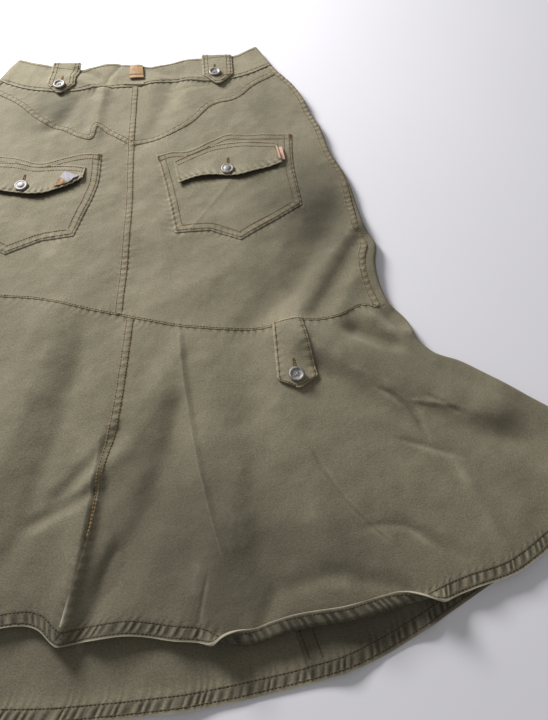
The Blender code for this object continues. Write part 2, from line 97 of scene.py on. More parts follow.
# %% Place of the tables' zero in the frame
LOOP_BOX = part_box("centre_loop")
ZERO_ACROSS = (LOOP_BOX[0][0] + LOOP_BOX[1][0]) / 2 / MM - 1.5
ZERO_DOWN = LOOP_BOX[1][1] / MM
print("zero of the tables, mm:", round(ZERO_ACROSS, 2), round(ZERO_DOWN, 2))


def to_world(points):
    """Across, down, height in millimetres to metres in the frame."""
    x, down, z = np.moveaxis(np.asarray(points, dtype=float), -1, 0)
    return np.stack([x + ZERO_ACROSS, ZERO_DOWN - down, z], axis=-1) * MM


# %% [markdown]
# ## Camera
# The view is from above the hem, looking steeply down towards the waist with a wide lens, which
# makes the near flounce look large. The camera is the first thing made, because every later
# choice, such as how fine a mesh is, depends on what it sees.

# %% Camera
CAMERA_AT = (136.8, 593.5, 402.1)      # across, down, height
CAMERA_PITCH = 66                      # degrees below the horizontal
CAMERA_YAW = 3.6                       # degrees to the right of the waist
LENS, SENSOR = 23.55, 36


def make_camera():
    """A plain camera with no shift and no depth of field."""
    data = bpy.data.cameras.new("camera")
    data.lens, data.sensor_width = LENS, SENSOR
    data.clip_start = 0.01
    camera = bpy.data.objects.new("camera", data)
    camera.location = to_world(CAMERA_AT)
    camera.rotation_euler = (radians(90 - CAMERA_PITCH), 0, -radians(CAMERA_YAW))
    bpy.context.scene.collection.objects.link(camera)
    bpy.context.scene.camera = camera
    return camera


print("camera at", [round(v, 3) for v in make_camera().location])

# %% [markdown]
# ## Smooth lines and patches
# A garment is drawn with smooth lines: seams, edges and hems. Each line here is a short table,
# and a cubic curve through its rows gives as many points as a mesh needs. Four such lines bound
# a panel, and a Coons patch fills it: it blends the opposite lines, the way a pattern cutter
# grades between two edges. A subdivision surface would round the panel's corners off.


# %% Lines and patches
def smooth(rows, count, start=0.0, end=1.0):
    """count + 1 evenly spaced points on a smooth curve through the rows, from share to share."""
    rows = np.array(rows, dtype=float)
    chord = np.hypot(*np.diff(rows[:, :2], axis=0).T)
    knots = np.concatenate([[0], np.cumsum(chord)])
    slopes = np.gradient(rows, knots, axis=0)
    where = np.linspace(start, end, count + 1) * knots[-1]
    low = np.clip(np.searchsorted(knots, where, side="right") - 1, 0, len(chord) - 1)
    step = chord[low][:, None]
    t = (where - knots[low])[:, None] / step
    return ((2 * t**3 - 3 * t**2 + 1) * rows[low] + (t**3 - 2 * t**2 + t) * step * slopes[low]
            + (3 * t**2 - 2 * t**3) * rows[low + 1] + (t**3 - t**2) * step * slopes[low + 1])


def share_at(rows, across):
    """The share of a line's length at which it reaches a place across."""
    fine = smooth(rows, 4000)[:, 0]
    return np.argmin(np.abs(fine - across)) / 4000


def half(rows, from_across, end, count):
    """The stretch of a line from a place across to an end point, eased on to that point."""
    line = smooth(rows, count, share_at(rows, from_across), share_at(rows, end[0]))
    away = np.hypot(*(line[:, :2] - line[-1, :2]).T)
    line[:, :2] += (np.clip(1 - away / 40, 0, 1) ** 2)[:, None] * (end - line[-1, :2])
    return line


def patch(top, bottom, left, right):
    """The Coons patch of four lines: rows run down, columns run across."""
    u = np.linspace(0, 1, len(top))[None, :, None]
    v = np.linspace(0, 1, len(left))[:, None, None]
    across = (1 - v) * top[None] + v * bottom[None]
    down = (1 - u) * left[:, None] + u * right[:, None]
    corners = ((1 - u) * (1 - v) * top[0] + u * (1 - v) * top[-1]
               + (1 - u) * v * bottom[0] + u * v * bottom[-1])
    return across + down - corners


def length_of(line):
    """The length of a line of points."""
    return float(np.linalg.norm(np.diff(line, axis=0), axis=-1).sum())


def normals_of(line, sign=1):
    """Unit steps to the right of a line in the plan, or to its left with sign -1."""
    along = np.gradient(line[:, :2], axis=0)
    out = np.stack([along[:, 1], -along[:, 0]], axis=1) * sign
    return out / np.maximum(np.linalg.norm(out, axis=1, keepdims=True), 1e-9)


# %% [markdown]
# ## The seam lines
# These are the skirt's lines as it lies: the waist, the V of the yoke, the side edges that flare
# into the flounce, the seam between, and the hem. The hem line has a third column: how far the
# hem is turned up there, in degrees. It lies flat at 0 and is folded back on the skirt at 180.

# %% Seam lines: across, down
WAIST_TOP = [(-152, -22), (-118, -9), (-69, 3), (-35, -5), (0, 0), (35, 1), (61, -7),
             (92, -9), (125, -14), (153, -29)]
WAIST_SEAM = [(-171, 17), (-136, 34), (-92, 42), (-38, 39), (0, 38), (44, 29), (92, 35),
              (136, 26), (171, 8)]
YOKE = {
    "left": [(0.5, 135), (-24, 117), (-41, 106), (-47, 124), (-60, 119), (-76, 108), (-105, 91),
             (-142, 56), (-179, 32)],
    "right": [(0.5, 135), (33, 126), (68, 104), (95, 74), (119, 67), (142, 45), (178, 21)],
}
CENTRE_SEAM = [(0.5, 135), (4, 260), (2, 362)]
FLOUNCE_SEAM = [(-262, 338), (-200, 332), (-130, 333), (-71, 341), (-35, 352), (2, 362),
                (33, 371), (61, 378), (118, 384), (180, 382), (214, 376), (236, 364), (263, 363)]
SIDE = {
    "left": [(-179, 32), (-197, 66), (-213, 110), (-229, 160), (-243, 205), (-252, 250),
             (-260, 290), (-257, 315), (-262, 338)],
    "right": [(178, 21), (196, 48), (206, 72), (212, 95), (221, 121), (229, 163), (242, 199),
              (249, 241), (253, 270), (261, 293), (257, 318), (258, 341), (263, 363)],
}
FLARE = {
    "left": [(-262, 338), (-276, 362), (-292, 388), (-330, 412), (-395, 460), (-456, 518)],
    "right": [(263, 363), (277, 381), (284, 404), (295, 418), (318, 429), (352, 453),
              (405, 490), (460, 530)],
}
CENTRE_FLOUNCE = [(13.6, 367), (12, 394), (5, 475), (0, 502), (-6, 556), (-20, 621)]
FRONT_HEM = [(-456, 518), (-380, 588), (-313, 624), (-210, 660), (-100, 678), (20, 682),
             (120, 675), (210, 657), (257, 636), (313, 609), (380, 575), (460, 530)]
FRONT_FLOUNCE_SEAM = [(-262, 338), (-150, 378), (0, 402), (150, 392), (263, 363)]
FRONT_WAIST_TOP = [(-152, -22), (-100, 4), (0, 10), (100, 0), (153, -29)]
FRONT_WAIST_SEAM = [(-171, 17), (-100, 44), (0, 50), (100, 40), (171, 8)]
FRONT_JOINS = {"left": (-76, -160), "right": (76, 160)}    # across at the seam, at the hem
HEM_LINE = [
    # across, down, turn
    (-456, 518, 0), (-400, 553, 0), (-300, 590, 0), (-200, 607, 0), (-100, 613, 0),
    (-34, 611, 0), (-20, 621, 0), (0, 620, 0), (26, 618, 0), (60, 623, 0), (84, 627, 25),
    (98, 635, 120), (114, 639, 175), (150, 632, 180), (190, 628, 180), (226, 622, 175),
    (246, 617, 110), (262, 610, 12), (282, 604, 0), (313, 597, 0), (352, 577, 0),
    (405, 549, 0), (460, 530, 0),
]
SEAM_INSETS = [
    # share of the way from waist to flounce seam, how far in from the edge the side seam lies
    (0, 4.6), (0.35, 5.0), (0.6, 6.0), (0.75, 10.0), (0.88, 15.0), (1, 13.0),
]
HEM = 13                     # depth of the turned hem
WALL = 0.9                   # one layer of twill
LAYER = WALL + 0.25          # one layer lying on another
BAND_WALL = 2.2              # the waistband: two layers and an interlining
FLOOR_MID = WALL / 2 + 0.02
TOP_MID = 7.5                # middle of the upper layer, away from its folds

# %% [markdown]
# ## Folds, creases and crumples
# Cotton that was washed, folded and thrown down keeps three sizes of unevenness. Large folds are
# soft ridges and troughs, each a line with a width on either side and a height, so one side may
# be steep. Sharp creases are the same with a peaked profile. Small crumples are too many to place
# by hand, so they come from smooth seeded noise, stretched the way the cloth is pulled: fanwise
# on the flounce, slantwise above. Cloth simulation was left aside, because it would make its own
# folds and not these.

# %% Table of folds
FOLDS = [
    # from across, down, to across, down, bow, width left, width right, height, sharp
    (46, 40, 18, 132, 5, 13, 15, -2.6, 0),       # trough beside the centre, on the yoke
    (68, 44, 40, 104, 4, 16, 18, 1.8, 0),
    (47, 47, 80, 44, 0, 3, 3, -0.8, 1),
    (-37, 46, -42, 112, -2, 18, 8, 3.4, 0),      # ridge that drags the left yoke
    (-50, 52, -54, 104, 0, 9, 9, -1.6, 0),
    (-22, 2, -43, 38, 0, 4, 4, -1.8, 1),
    (-64, 8, -34, 30, 2, 6, 5, -2.6, 0),         # the slack waistband beside the centre
    (-76, 22, -48, 40, 0, 5, 6, 2.4, 0),
    (18, 6, 52, 26, -2, 5, 6, -2.2, 0),
    (44, 24, 84, 33, 0, 4, 5, 1.8, 0),
    (-70, 62, -96, 104, 2, 8, 10, -2.0, 0),
    (133, 84, 154, 126, 0, 8, 8, 0.9, 0),
    (224, 246, 128, 384, 7, 17, 20, -3.4, 0),    # long valley to the flounce seam
    (238, 274, 160, 378, 2, 12, 16, 3.6, 0),
    (244, 286, 192, 366, 0, 8, 11, -2.4, 0),
    (250, 300, 215, 370, 0, 9, 9, 1.8, 0),
    (120, 300, 40, 356, 0, 20, 16, 1.3, 0),
    (108, 208, 72, 260, 0, 5, 6, 0.8, 1),
    (-20, 165, 20, 250, 0, 14, 14, -0.8, 0),
    (24, 290, -20, 350, 0, 16, 16, -0.9, 0),
    (178, 400, 330, 480, -9, 14, 24, 9.4, 0),   # ridge that the right flare rolls over
    (228, 392, 258, 408, 0, 8, 8, -5.0, 0),      # hollows behind it
    (264, 380, 281, 402, 0, 7, 8, -4.4, 0),
    (244, 380, 272, 404, 0, 6, 7, 3.4, 0),
    (196, 428, 350, 505, 4, 12, 18, -3.4, 0),    # the dark valley below that ridge
    (250, 460, 269, 485, 2, 3, 5, -3.0, 1),
    (250, 462, 330, 530, 0, 8, 10, 2.0, 0),
    (286, 466, 302, 476, 0, 3, 3, -2.0, 1),
    (274, 468, 290, 471, 0, 2, 3, 2.0, 1),
    (260, 502, 288, 512, 0, 3, 4, -2.2, 1),
    (298, 536, 316, 586, 0, 6, 8, 1.8, 0),
    (240, 480, 330, 572, 6, 10, 12, 1.8, 0),
    (181, 517, 220, 570, -3, 5, 4, -1.3, 1),
    (224, 566, 268, 584, 5, 4, 5, -1.5, 1),
    (248, 568, 282, 590, 0, 6, 5, -1.2, 0),
    (62, 400, 88, 548, -3, 10, 3.4, 1.9, 0.5),   # thin crease down the middle
    (88, 420, 100, 600, 0, 26, 26, 2.6, 0),
    (150, 440, 182, 596, 6, 24, 24, 2.2, 0),
    (122, 450, 128, 600, 0, 12, 14, -1.6, 0),
    (62, 403, 8, 478, 2, 12, 8, 1.6, 0),
    (62, 462, 14, 592, 5, 12, 18, -4.0, 0),      # long dark valley beside the centre seam
    (44, 452, -12, 520, 4, 10, 10, 2.2, 0),
    (8, 480, -32, 526, 2, 7, 9, -3.2, 0),
    (-12, 529, -48, 546, 0, 6, 6, -3.2, 0),
    (-6, 505, -19, 632, 1, 15, 6, 6.0, 0.3),     # the ridge that the hem steps over
    (12, 578, -6, 628, 0, 6, 9, -2.8, 0),
    (84, 602, 80, 620, 0, 3, 3, -1.0, 1),
    (134, 612, 124, 634, 0, 6, 7, -1.8, 0),
    (150, 606, 178, 600, 0, 6, 7, -1.6, 0),
    (188, 600, 236, 612, 0, 6, 7, -1.8, 0),
    (100, 560, 60, 640, 0, 14, 14, 2.0, 0),
    (170, 560, 200, 630, 0, 14, 14, 2.4, 0),
    (-60, 380, -120, 590, 6, 26, 20, 5.0, 0),
    (-30, 400, -64, 560, 4, 10, 12, -2.4, 0),
    (-110, 420, -176, 596, 4, 14, 14, -2.6, 0),
    (-170, 400, -255, 575, -8, 22, 28, 5.5, 0),
    (-235, 385, -380, 510, 6, 14, 24, 5.0, 0),
    (-215, 420, -330, 548, 0, 12, 12, -2.2, 0),
    (-205, 240, -140, 330, 0, 18, 22, 3.0, 0),
    (-224, 262, -180, 330, 0, 10, 12, -2.0, 0),
    (-70, 290, -30, 350, 0, 14, 16, 1.4, 0),
]


PAINTED_SHADING = [
    # soft patches of painted shade (below zero) and painted light (above zero): across, down,
    # half width, half height, amount
    (105, 575, 95, 62, -0.44), (40, 505, 34, 60, -0.20), (235, 585, 70, 34, -0.18),
    (-40, 590, 70, 60, -0.20), (-95, 75, 40, 34, -0.36), (205, 250, 60, 76, -0.56),
    (165, 345, 60, 30, -0.12), (262, 440, 70, 34, -0.26), (120, 400, 40, 20, -0.06),
    (10, 100, 46, 40, 0.06), (150, 80, 40, 30, -0.18), (-60, 430, 60, 60, -0.06),
    (60, 640, 300, 34, -0.22), (330, 560, 60, 30, -0.05),
]

# %% Height of the upper layer
def fold_height(plan):
    """Sum of the ridges, troughs and creases at each place of the plan."""
    total = np.zeros(plan.shape[:-1])
    for x0, d0, x1, d1, bow, left_width, right_width, height, sharp in FOLDS:
        along = np.array([x1 - x0, d1 - d0], dtype=float)
        length = np.hypot(*along)
        along /= length
        rel = plan - np.array([x0, d0])
        s = rel @ along / length
        off = rel @ np.array([along[1], -along[0]]) - bow * 4 * s * (1 - s)
        off = np.abs(off) / np.where(off < 0, left_width, right_width)
        past = np.maximum(np.maximum(-s, s - 1), 0) * length
        profile = (1 - sharp) * np.exp(-off**2) + sharp * np.exp(-1.4 * off)
        total += height * profile * np.exp(-(past / (8 + 0.1 * length)) ** 2)
    return total


def noise(x, y, seed):
    """Smooth noise from -1 to 1 on a seeded lattice with a cell of 1."""
    lattice = np.random.default_rng(seed).uniform(-1, 1, (256, 256))
    i, j = np.floor(x).astype(int), np.floor(y).astype(int)
    fx, fy = x - i, y - j
    fx, fy = fx * fx * (3 - 2 * fx), fy * fy * (3 - 2 * fy)
    i, j, i_next, j_next = i % 256, j % 256, (i + 1) % 256, (j + 1) % 256
    near = lattice[i, j] * (1 - fx) + lattice[i_next, j] * fx
    far = lattice[i, j_next] * (1 - fx) + lattice[i_next, j_next] * fx
    return near * (1 - fy) + far * fy


FAN_APEX = (30, 60)          # the flounce's pull lines meet near here
CRUMPLES = [
    # cell along, cell across the pull, height, creased, seed
    (80, 34, 1.3, 0, 11), (38, 20, 0.75, 0, 12), (30, 26, 0.26, 1, 13), (20, 13, 0.42, 0, 14),
    (10, 8, 0.17, 0, 15), (5, 4, 0.06, 0, 16),
]


def crumple(plan):
    """Small unevenness, stretched fanwise on the flounce and slantwise above it."""
    x, down = plan[..., 0], plan[..., 1]
    radius = np.hypot(x - FAN_APEX[0], down - FAN_APEX[1])
    turn = np.arctan2(x - FAN_APEX[0], down - FAN_APEX[1]) * 420
    slant = (x * 0.45 + down * 0.9, x * 0.9 - down * 0.45)
    seam = np.interp(x, *np.array(FLOUNCE_SEAM, dtype=float).T)
    lower = 1 / (1 + np.exp(-(down - seam) / 12))
    total = np.zeros(x.shape)
    for long, short, height, creased, seed in CRUMPLES:
        fan = noise(radius / long, turn / short, seed)
        upper = noise(slant[0] / (long * 0.6), slant[1] / (short * 1.15), seed + 50)
        if creased:
            fan, upper = 0.5 - 1.6 * np.abs(fan), 0.5 - 1.6 * np.abs(upper)
        total += height * (lower * (0.5 * fan + 0.5 * upper) + 0.75 * (1 - lower) * upper)
    return total


def relief(plan):
    """Height of the middle of the upper layer's cloth."""
    plan = np.asarray(plan, dtype=float)
    return np.maximum(TOP_MID + fold_height(plan) + crumple(plan), FLOOR_MID + 2.2)


probe = relief(np.stack(np.meshgrid(np.linspace(-200, 200, 60), np.linspace(60, 600, 60)), -1))
print("upper layer, height mm:", round(probe.min(), 1), "to", round(probe.max(), 1))

# %% [markdown]
# ## Making cloth
# A piece of cloth is two sheets of points, its face and its back, joined round the rim. Building
# both sheets from one grid keeps the wall even and the mesh closed. Each piece keeps a UV map in
# real metres, so that the weave has one scale everywhere, and a value at every point for its pale
# and dark marks. Above zero is where washing has rubbed the cloth pale or a highlight is painted.
# Below zero is where dye and dirt have stayed or shade is painted: in creases, in the grooves of
# stitching, and under laps and flaps.


# %% Cloth builder
def quads_of(rows, columns, first):
    """Corner numbers of a grid's faces."""
    index = first + np.arange(rows * columns).reshape(rows, columns)
    return np.stack([index[:-1, :-1], index[1:, :-1], index[1:, 1:], index[:-1, 1:]], -1).reshape(-1, 4)


def rim_of(rows, columns):
    """Point numbers round a grid's edge, in order."""
    index = np.arange(rows * columns).reshape(rows, columns)
    return np.concatenate([index[0], index[1:, -1], index[-1, -2::-1], index[-2:0:-1, 0]])


def painted_shading(points):
    """The painted shade and light at each point: the sum of the soft patches."""
    total = np.zeros(len(points))
    for across, down, wide, high, amount in PAINTED_SHADING:
        total += amount * np.exp(-((points[:, 0] - across) / wide) ** 2
                                 - ((points[:, 1] - down) / high) ** 2)
    return total


def mesh_from(name, points, faces, uv, wear_and_shading, hem):
    """A smooth mesh with a UV map in metres and attributes for its pale and dark marks, its painted shading
    and the hem's ripple.
    """
    mesh = bpy.data.meshes.new(name)
    mesh.vertices.add(len(points))
    mesh.vertices.foreach_set("co", to_world(points).astype(np.float32).ravel())
    mesh.loops.add(faces.size)
    mesh.loops.foreach_set("vertex_index", faces.astype(np.int32).ravel())
    mesh.polygons.add(len(faces))
    mesh.polygons.foreach_set("loop_start", np.arange(len(faces), dtype=np.int32) * 4)
    mesh.update(calc_edges=True)
    layer = mesh.uv_layers.new(name="cloth")
    layer.data.foreach_set("uv", (uv[faces.ravel()] * MM).astype(np.float32).ravel())
    values = {"wear_and_shading": wear_and_shading, "painted_shading": painted_shading(points), "hem_along": hem[0], "hem_ripple": hem[1]}
    for label, value in values.items():
        attribute = mesh.attributes.new(label, "FLOAT", "POINT")
        attribute.data.foreach_set("value", value.astype(np.float32))
    mesh.shade_smooth()
    mesh.set_sharp_from_angle(angle=radians(55))
    obj = bpy.data.objects.new(name + "_made", mesh)
    bpy.context.scene.collection.objects.link(obj)
    return obj


def volume_of(points, faces):
    """Signed volume inside a closed mesh of quads."""
    a, b, c, d = (points[faces[:, k]] for k in range(4))
    return (np.einsum("ij,ij->i", a, np.cross(b, c)) + np.einsum("ij,ij->i", a, np.cross(c, d))).sum()


def cloth(name, middle, out=None, above=WALL / 2, below=WALL / 2, wear_and_shading=0.0, hem=(0.0, 0.0)):
    """A closed wall of cloth round a grid of middle points (across, down, height).

    out is the way through the wall at each point; above and below are its two half walls. hem
    is the place along the hem and the strength of its ripple.
    """
    rows, columns = middle.shape[:2]
    if out is None:
        out = np.broadcast_to([0.0, 0.0, 1.0], middle.shape)
    above = np.broadcast_to(above, (rows, columns))[..., None]
    below = np.broadcast_to(below, (rows, columns))[..., None]
    face, back = middle + out * above, middle - out * below
    count = rows * columns
    front_quads, back_quads = quads_of(rows, columns, 0), quads_of(rows, columns, count)[:, ::-1]
    rim = rim_of(rows, columns)
    ahead = np.roll(rim, -1)
    rim_quads = np.stack([ahead, rim, rim + count, ahead + count], -1)
    faces = np.concatenate([front_quads, back_quads, rim_quads])
    points = np.concatenate([face.reshape(-1, 3), back.reshape(-1, 3)])
    points[:, 2] = np.maximum(points[:, 2], 0)        # the cloth rests on the surface
    if volume_of(to_world(points), faces) < 0:
        faces = faces[:, ::-1]
    step_u = np.linalg.norm(np.diff(middle, axis=1), axis=-1)
    step_v = np.linalg.norm(np.diff(middle, axis=0), axis=-1)
    u = np.concatenate([np.zeros((rows, 1)), np.cumsum(step_u, axis=1)], axis=1)
    v = np.concatenate([np.zeros((1, columns)), np.cumsum(step_v, axis=0)], axis=0)
    uv = np.stack([u - u.mean(axis=1, keepdims=True), v], -1).reshape(-1, 2)
    wear_and_shading = np.broadcast_to(wear_and_shading, (rows, columns)).ravel()
    hem = [np.tile(np.broadcast_to(part, (rows, columns)).ravel(), 2) for part in hem]
    obj = mesh_from(name, points, faces, np.concatenate([uv, uv]), np.concatenate([wear_and_shading, wear_and_shading]), hem)
    # The back sheet takes the second material: the cloth's inside, darker partly by painted shade.
    sides = np.zeros(len(faces), dtype=np.int32)
    sides[len(front_quads):2 * len(front_quads)] = 1
    obj.data.polygons.foreach_set("material_index", sides)
    area = quad_area(middle)
    obj["cut"] = (float(u[:, -1].max()) * MM, float(v[-1].max()) * MM, area)
    print(f"{name}: {2 * len(faces)} triangles, {area * 1e4:.0f} square cm")
    return obj


def quad_area(grid):
    """Area of a grid in square metres."""
    a, b = grid[1:, 1:] - grid[:-1, :-1], grid[1:, :-1] - grid[:-1, 1:]
    return float(np.linalg.norm(np.cross(a, b), axis=-1).sum() / 2) * MM * MM


def with_height(plan, height):
    """A plan with a height beside each point."""
    return np.concatenate([plan, height[..., None]], axis=-1)


def trim(grid, amount=0.12):
    """A patch with each edge drawn in a little, which leaves the gap at its seams."""
    grid = grid.copy()
    for edge, inner in ((grid[0], grid[1]), (grid[-1], grid[-2]),
                        (grid[:, 0], grid[:, 1]), (grid[:, -1], grid[:, -2])):
        way = inner - edge
        edge += way / np.linalg.norm(way, axis=-1, keepdims=True) * amount
    return grid


# %% [markdown]
# ## Puckers
# A sewn seam draws up in the wash. The thread shrinks less than the cloth, so the seam ripples
# every 6 to 8 mm, and washing rubs the tops of the ripples pale. A seam is kept here as a line
# that can tell any point how far away it is and how far along, and the ripples follow from that.


# %% Seams as lines that measure
class Seam:
    """A seam's line on the laid skirt."""

    def __init__(self, line, seed, width=3.6, depth=0.17):
        self.line = np.asarray(line, dtype=float)[:, :2]
        steps = np.linalg.norm(np.diff(self.line, axis=0), axis=1)
        self.along = np.concatenate([[0], np.cumsum(steps)])
        self.seed, self.width, self.depth = seed, width, depth

    def measure(self, plan, reach):
        """Signed distance and distance along, for the points that are within reach."""
        flat = plan.reshape(-1, 2)
        low, high = self.line.min(axis=0) - reach, self.line.max(axis=0) + reach
        near = np.flatnonzero(((flat > low) & (flat < high)).all(axis=1))
        distance, along = np.full(len(flat), 1e3), np.zeros(len(flat))
        for part in np.array_split(near, max(1, len(near) // 4000)):
            rel = flat[part][:, None] - self.line[None, :-1]
            way = np.diff(self.line, axis=0)
            length = np.maximum(np.linalg.norm(way, axis=1), 1e-9)
            unit = way / length[:, None]
            t = np.clip((rel * unit).sum(-1), 0, length)
            gap = rel - t[..., None] * unit
            best = np.linalg.norm(gap, axis=-1).argmin(axis=1)
            pick = np.arange(len(part)), best
            side = np.sign(unit[best, 0] * rel[pick][:, 1] - unit[best, 1] * rel[pick][:, 0])
            distance[part] = np.linalg.norm(gap[pick], axis=-1) * -side
            along[part] = self.along[best] + t[pick]
        return distance.reshape(plan.shape[:-1]), along.reshape(plan.shape[:-1])

    def ripple(self, along, pitch=7.0):
        """A ripple from -1 to 1 along the seam, uneven in pitch and strength."""
        drift = noise(along / 23, along * 0 + 0.5, self.seed) * 1.6
        strength = 0.72 + 0.5 * noise(along / 17, along * 0 + 4.5, self.seed + 1)
        return np.sin(2 * pi * along / pitch + drift * 2) * strength


def edge_puckers(plan, seams, reach=16):
    """Ripples that run out from seams into the cloth beside them, and their wear."""
    height, wear_and_shading = np.zeros(plan.shape[:-1]), np.zeros(plan.shape[:-1])
    for seam in seams:
        distance, along = seam.measure(plan, reach)
        fade = np.exp(-np.maximum(np.abs(distance) - seam.width, 0) / 4.0)
        fade = np.where(np.abs(distance) < 900, fade, 0)
        ripple = seam.ripple(along + 0.35 * np.abs(distance))
        height += seam.depth * ripple * fade
        wear_and_shading += (0.13 * ripple + 0.02) * fade
    return height, wear_and_shading


# %% [markdown]
# ## The side edges
# The back and the front meet near the side edges, where the front turns round on to the top. One
# object holds a whole side edge, so that the band, the yoke, the panels and the flounce all use
# the same points and meet without a gap.

# %% Side edges
BAND_ROWS, BACK_ROWS, FLOUNCE_ROWS, HEM_ROWS = 26, 132, 112, 9
YOKE_ROWS = 40
SIGNS = {"left": -1, "right": 1}
YOKE_AT = BAND_ROWS
BACK_AT = YOKE_AT + 6
FLARE_AT = BACK_AT + BACK_ROWS
HEM_AT = FLARE_AT + FLOUNCE_ROWS


class SideEdge:
    """One side edge from the waist to the hem, with the side seam on top of it."""

    def __init__(self, side):
        self.side, self.sign = side, SIGNS[side]
        end = 0 if side == "left" else -1
        band = np.linspace(WAIST_TOP[end], WAIST_SEAM[end], BAND_ROWS + 1)
        yoke = np.linspace(WAIST_SEAM[end], SIDE[side][0], BACK_AT - YOKE_AT + 1)[1:]
        flare = FLARE[side]
        body = 1 - HEM / length_of(smooth(flare, 200))
        self.body_share = body
        self.line = np.vstack([
            band, yoke, smooth(SIDE[side], BACK_ROWS)[1:], smooth(flare, FLOUNCE_ROWS, 0, body)[1:],
            smooth(flare, HEM_ROWS, body, 1)[1:]])
        normal = normals_of(self.line, self.sign)
        kernel = np.ones(9) / 9
        padded = np.vstack([normal[:1]] * 4 + [normal] + [normal[-1:]] * 4)
        normal = np.stack([np.convolve(padded[:, k], kernel, "valid") for k in (0, 1)], 1)
        self.normal = normal / np.linalg.norm(normal, axis=1, keepdims=True)
        shares, insets = np.array(SEAM_INSETS).T
        self.inset = np.interp(np.arange(len(self.line)) / FLARE_AT, shares, insets)
        self.seam = self.line - self.normal * self.inset[:, None]
        self.height = relief(self.seam)
        self.radius = (self.height - FLOOR_MID) / 2

    def turn(self, part, start=-90, end=90, steps=10):
        """Grid columns round the edge and their directions: -90 degrees is below, 90 on top."""
        line, normal, radius = self.line[part], self.normal[part], self.radius[part]
        for angle in np.radians(np.linspace(start, end, steps + 1)):
            place = line + normal * ((cos(angle) - 1) * radius)[:, None]
            height = FLOOR_MID + radius * (1 + sin(angle))
            out = np.column_stack([normal * cos(angle), np.full(len(line), sin(angle))])
            yield np.column_stack([place, height]), out


EDGES = {side: SideEdge(side) for side in SIGNS}
BAND_PART = slice(0, YOKE_AT + 1)
YOKE_PART = slice(YOKE_AT, BACK_AT + 1)
BACK_PART = slice(BACK_AT, FLARE_AT + 1)
FRONT_PART = slice(YOKE_AT, FLARE_AT + 1)
FLARE_PART = slice(FLARE_AT, None)
print("side edges:", {side: round(length_of(edge.line)) for side, edge in EDGES.items()}, "mm")

# %% [markdown]
# ## The seams of the upper layer
# Each seam is worked out once. The panels on both sides ask it for their puckers, and the narrow
# felled ribbon that covers it uses the same line, so the ripples run on from one to the other.


# %% Seam lines of the upper layer
def resample(line, shares):
    """Points on a line of points at the given shares of its length."""
    steps = np.linalg.norm(np.diff(line, axis=0), axis=1)
    along = np.concatenate([[0], np.cumsum(steps)])
    return np.stack([np.interp(shares * along[-1], along, column) for column in line.T], axis=1)


def beyond(line, across, sign, shares):
    """The part of a line past a place across, from there outwards."""
    order = line[np.argsort(line[:, 0] * sign)]
    start = [across] + [np.interp(across, *line[np.argsort(line[:, 0])][:, [0, k]].T)
                        for k in range(1, line.shape[1])]
    kept = order[(order[:, 0] - across) * sign > 0.01]
    return resample(np.vstack([start, kept]), shares)


WAIST, YOKE_LINE, FOOT = {}, {}, {}
for side, edge in EDGES.items():
    WAIST[side] = half(WAIST_SEAM, 0, edge.seam[YOKE_AT], 90)
    YOKE_LINE[side] = half(YOKE[side], YOKE[side][0][0], edge.seam[BACK_AT], 110)
    FOOT[side] = half(FLOUNCE_SEAM, CENTRE_SEAM[-1][0], edge.seam[FLARE_AT], 110)
WHOLE_FOOT = np.vstack([FOOT["left"][::-1], FOOT["right"][1:]])
CENTRE_LINE = np.vstack([np.linspace((0, 38), (0.5, 135), 50)[:-1], smooth(CENTRE_SEAM, 120)])
HINGE = np.vstack([half(HEM_LINE, CENTRE_FLOUNCE[-1][0], EDGES[side].seam[HEM_AT], 260)[::step]
                   for side, step in (("left", -1), ("right", 1))])
JOIN = CENTRE_FLOUNCE[0][0]
JOIN_FOOT = np.array([CENTRE_FLOUNCE[-1][0], np.interp(CENTRE_FLOUNCE[-1][0], *HINGE[:, :2].T)])
flounce_line = smooth(CENTRE_FLOUNCE, FLOUNCE_ROWS)
share = np.linspace(0, 1, FLOUNCE_ROWS + 1)[:, None]
JOIN_TOP = np.array([JOIN, np.interp(JOIN, *WHOLE_FOOT.T)])
FLOUNCE_LINE = (flounce_line + (JOIN_FOOT - flounce_line[-1]) * share
                + (JOIN_TOP - flounce_line[0]) * (1 - share))

SEAMS = {
    "waist": Seam(np.vstack([WAIST["left"][::-1], WAIST["right"][1:]]), 101, 2.5, 0.30),
    "yoke left": Seam(YOKE_LINE["left"], 102),
    "yoke right": Seam(YOKE_LINE["right"], 103),
    "centre": Seam(CENTRE_LINE, 104),
    "foot": Seam(WHOLE_FOOT, 105, 1.2, 0.22),
    "centre flounce": Seam(FLOUNCE_LINE, 106),
    "side left": Seam(EDGES["left"].seam[YOKE_AT:FLARE_AT + 1], 107, 3.6, 0.22),
    "side right": Seam(EDGES["right"].seam[YOKE_AT:FLARE_AT + 1], 108, 3.6, 0.22),
}
print("seams:", {name: round(seam.along[-1]) for name, seam in SEAMS.items()}, "mm")


# %% Surface of the upper layer
def bend(height, plan):
    """How sharply a height curves at each point of a grid: below zero on crests."""
    total = np.zeros(height.shape)
    for axis in (0, 1):
        space = np.linalg.norm(np.gradient(plan, axis=axis), axis=-1)
        total += np.gradient(np.gradient(height, axis=axis), axis=axis) / np.maximum(space, 0.6) ** 2
    return total


def surface(plan, seams, layers=0.0):
    """Height of a wall that lies on the upper layer, rippled by the named seams, and its pale and dark marks:
    rubbed puckers, a painted highlight on crests and painted shade in hollows.
    """
    ripple, wear_and_shading = edge_puckers(plan, [SEAMS[name] if isinstance(name, str) else name
                                       for name in seams])
    height = relief(plan) + ripple
    # Painted highlight on crests and painted shade in hollows, by how sharply the cloth curves.
    wear_and_shading = wear_and_shading + np.clip(-2.2 * bend(height, plan), -0.16, 0.16)
    return height + layers * LAYER, wear_and_shading


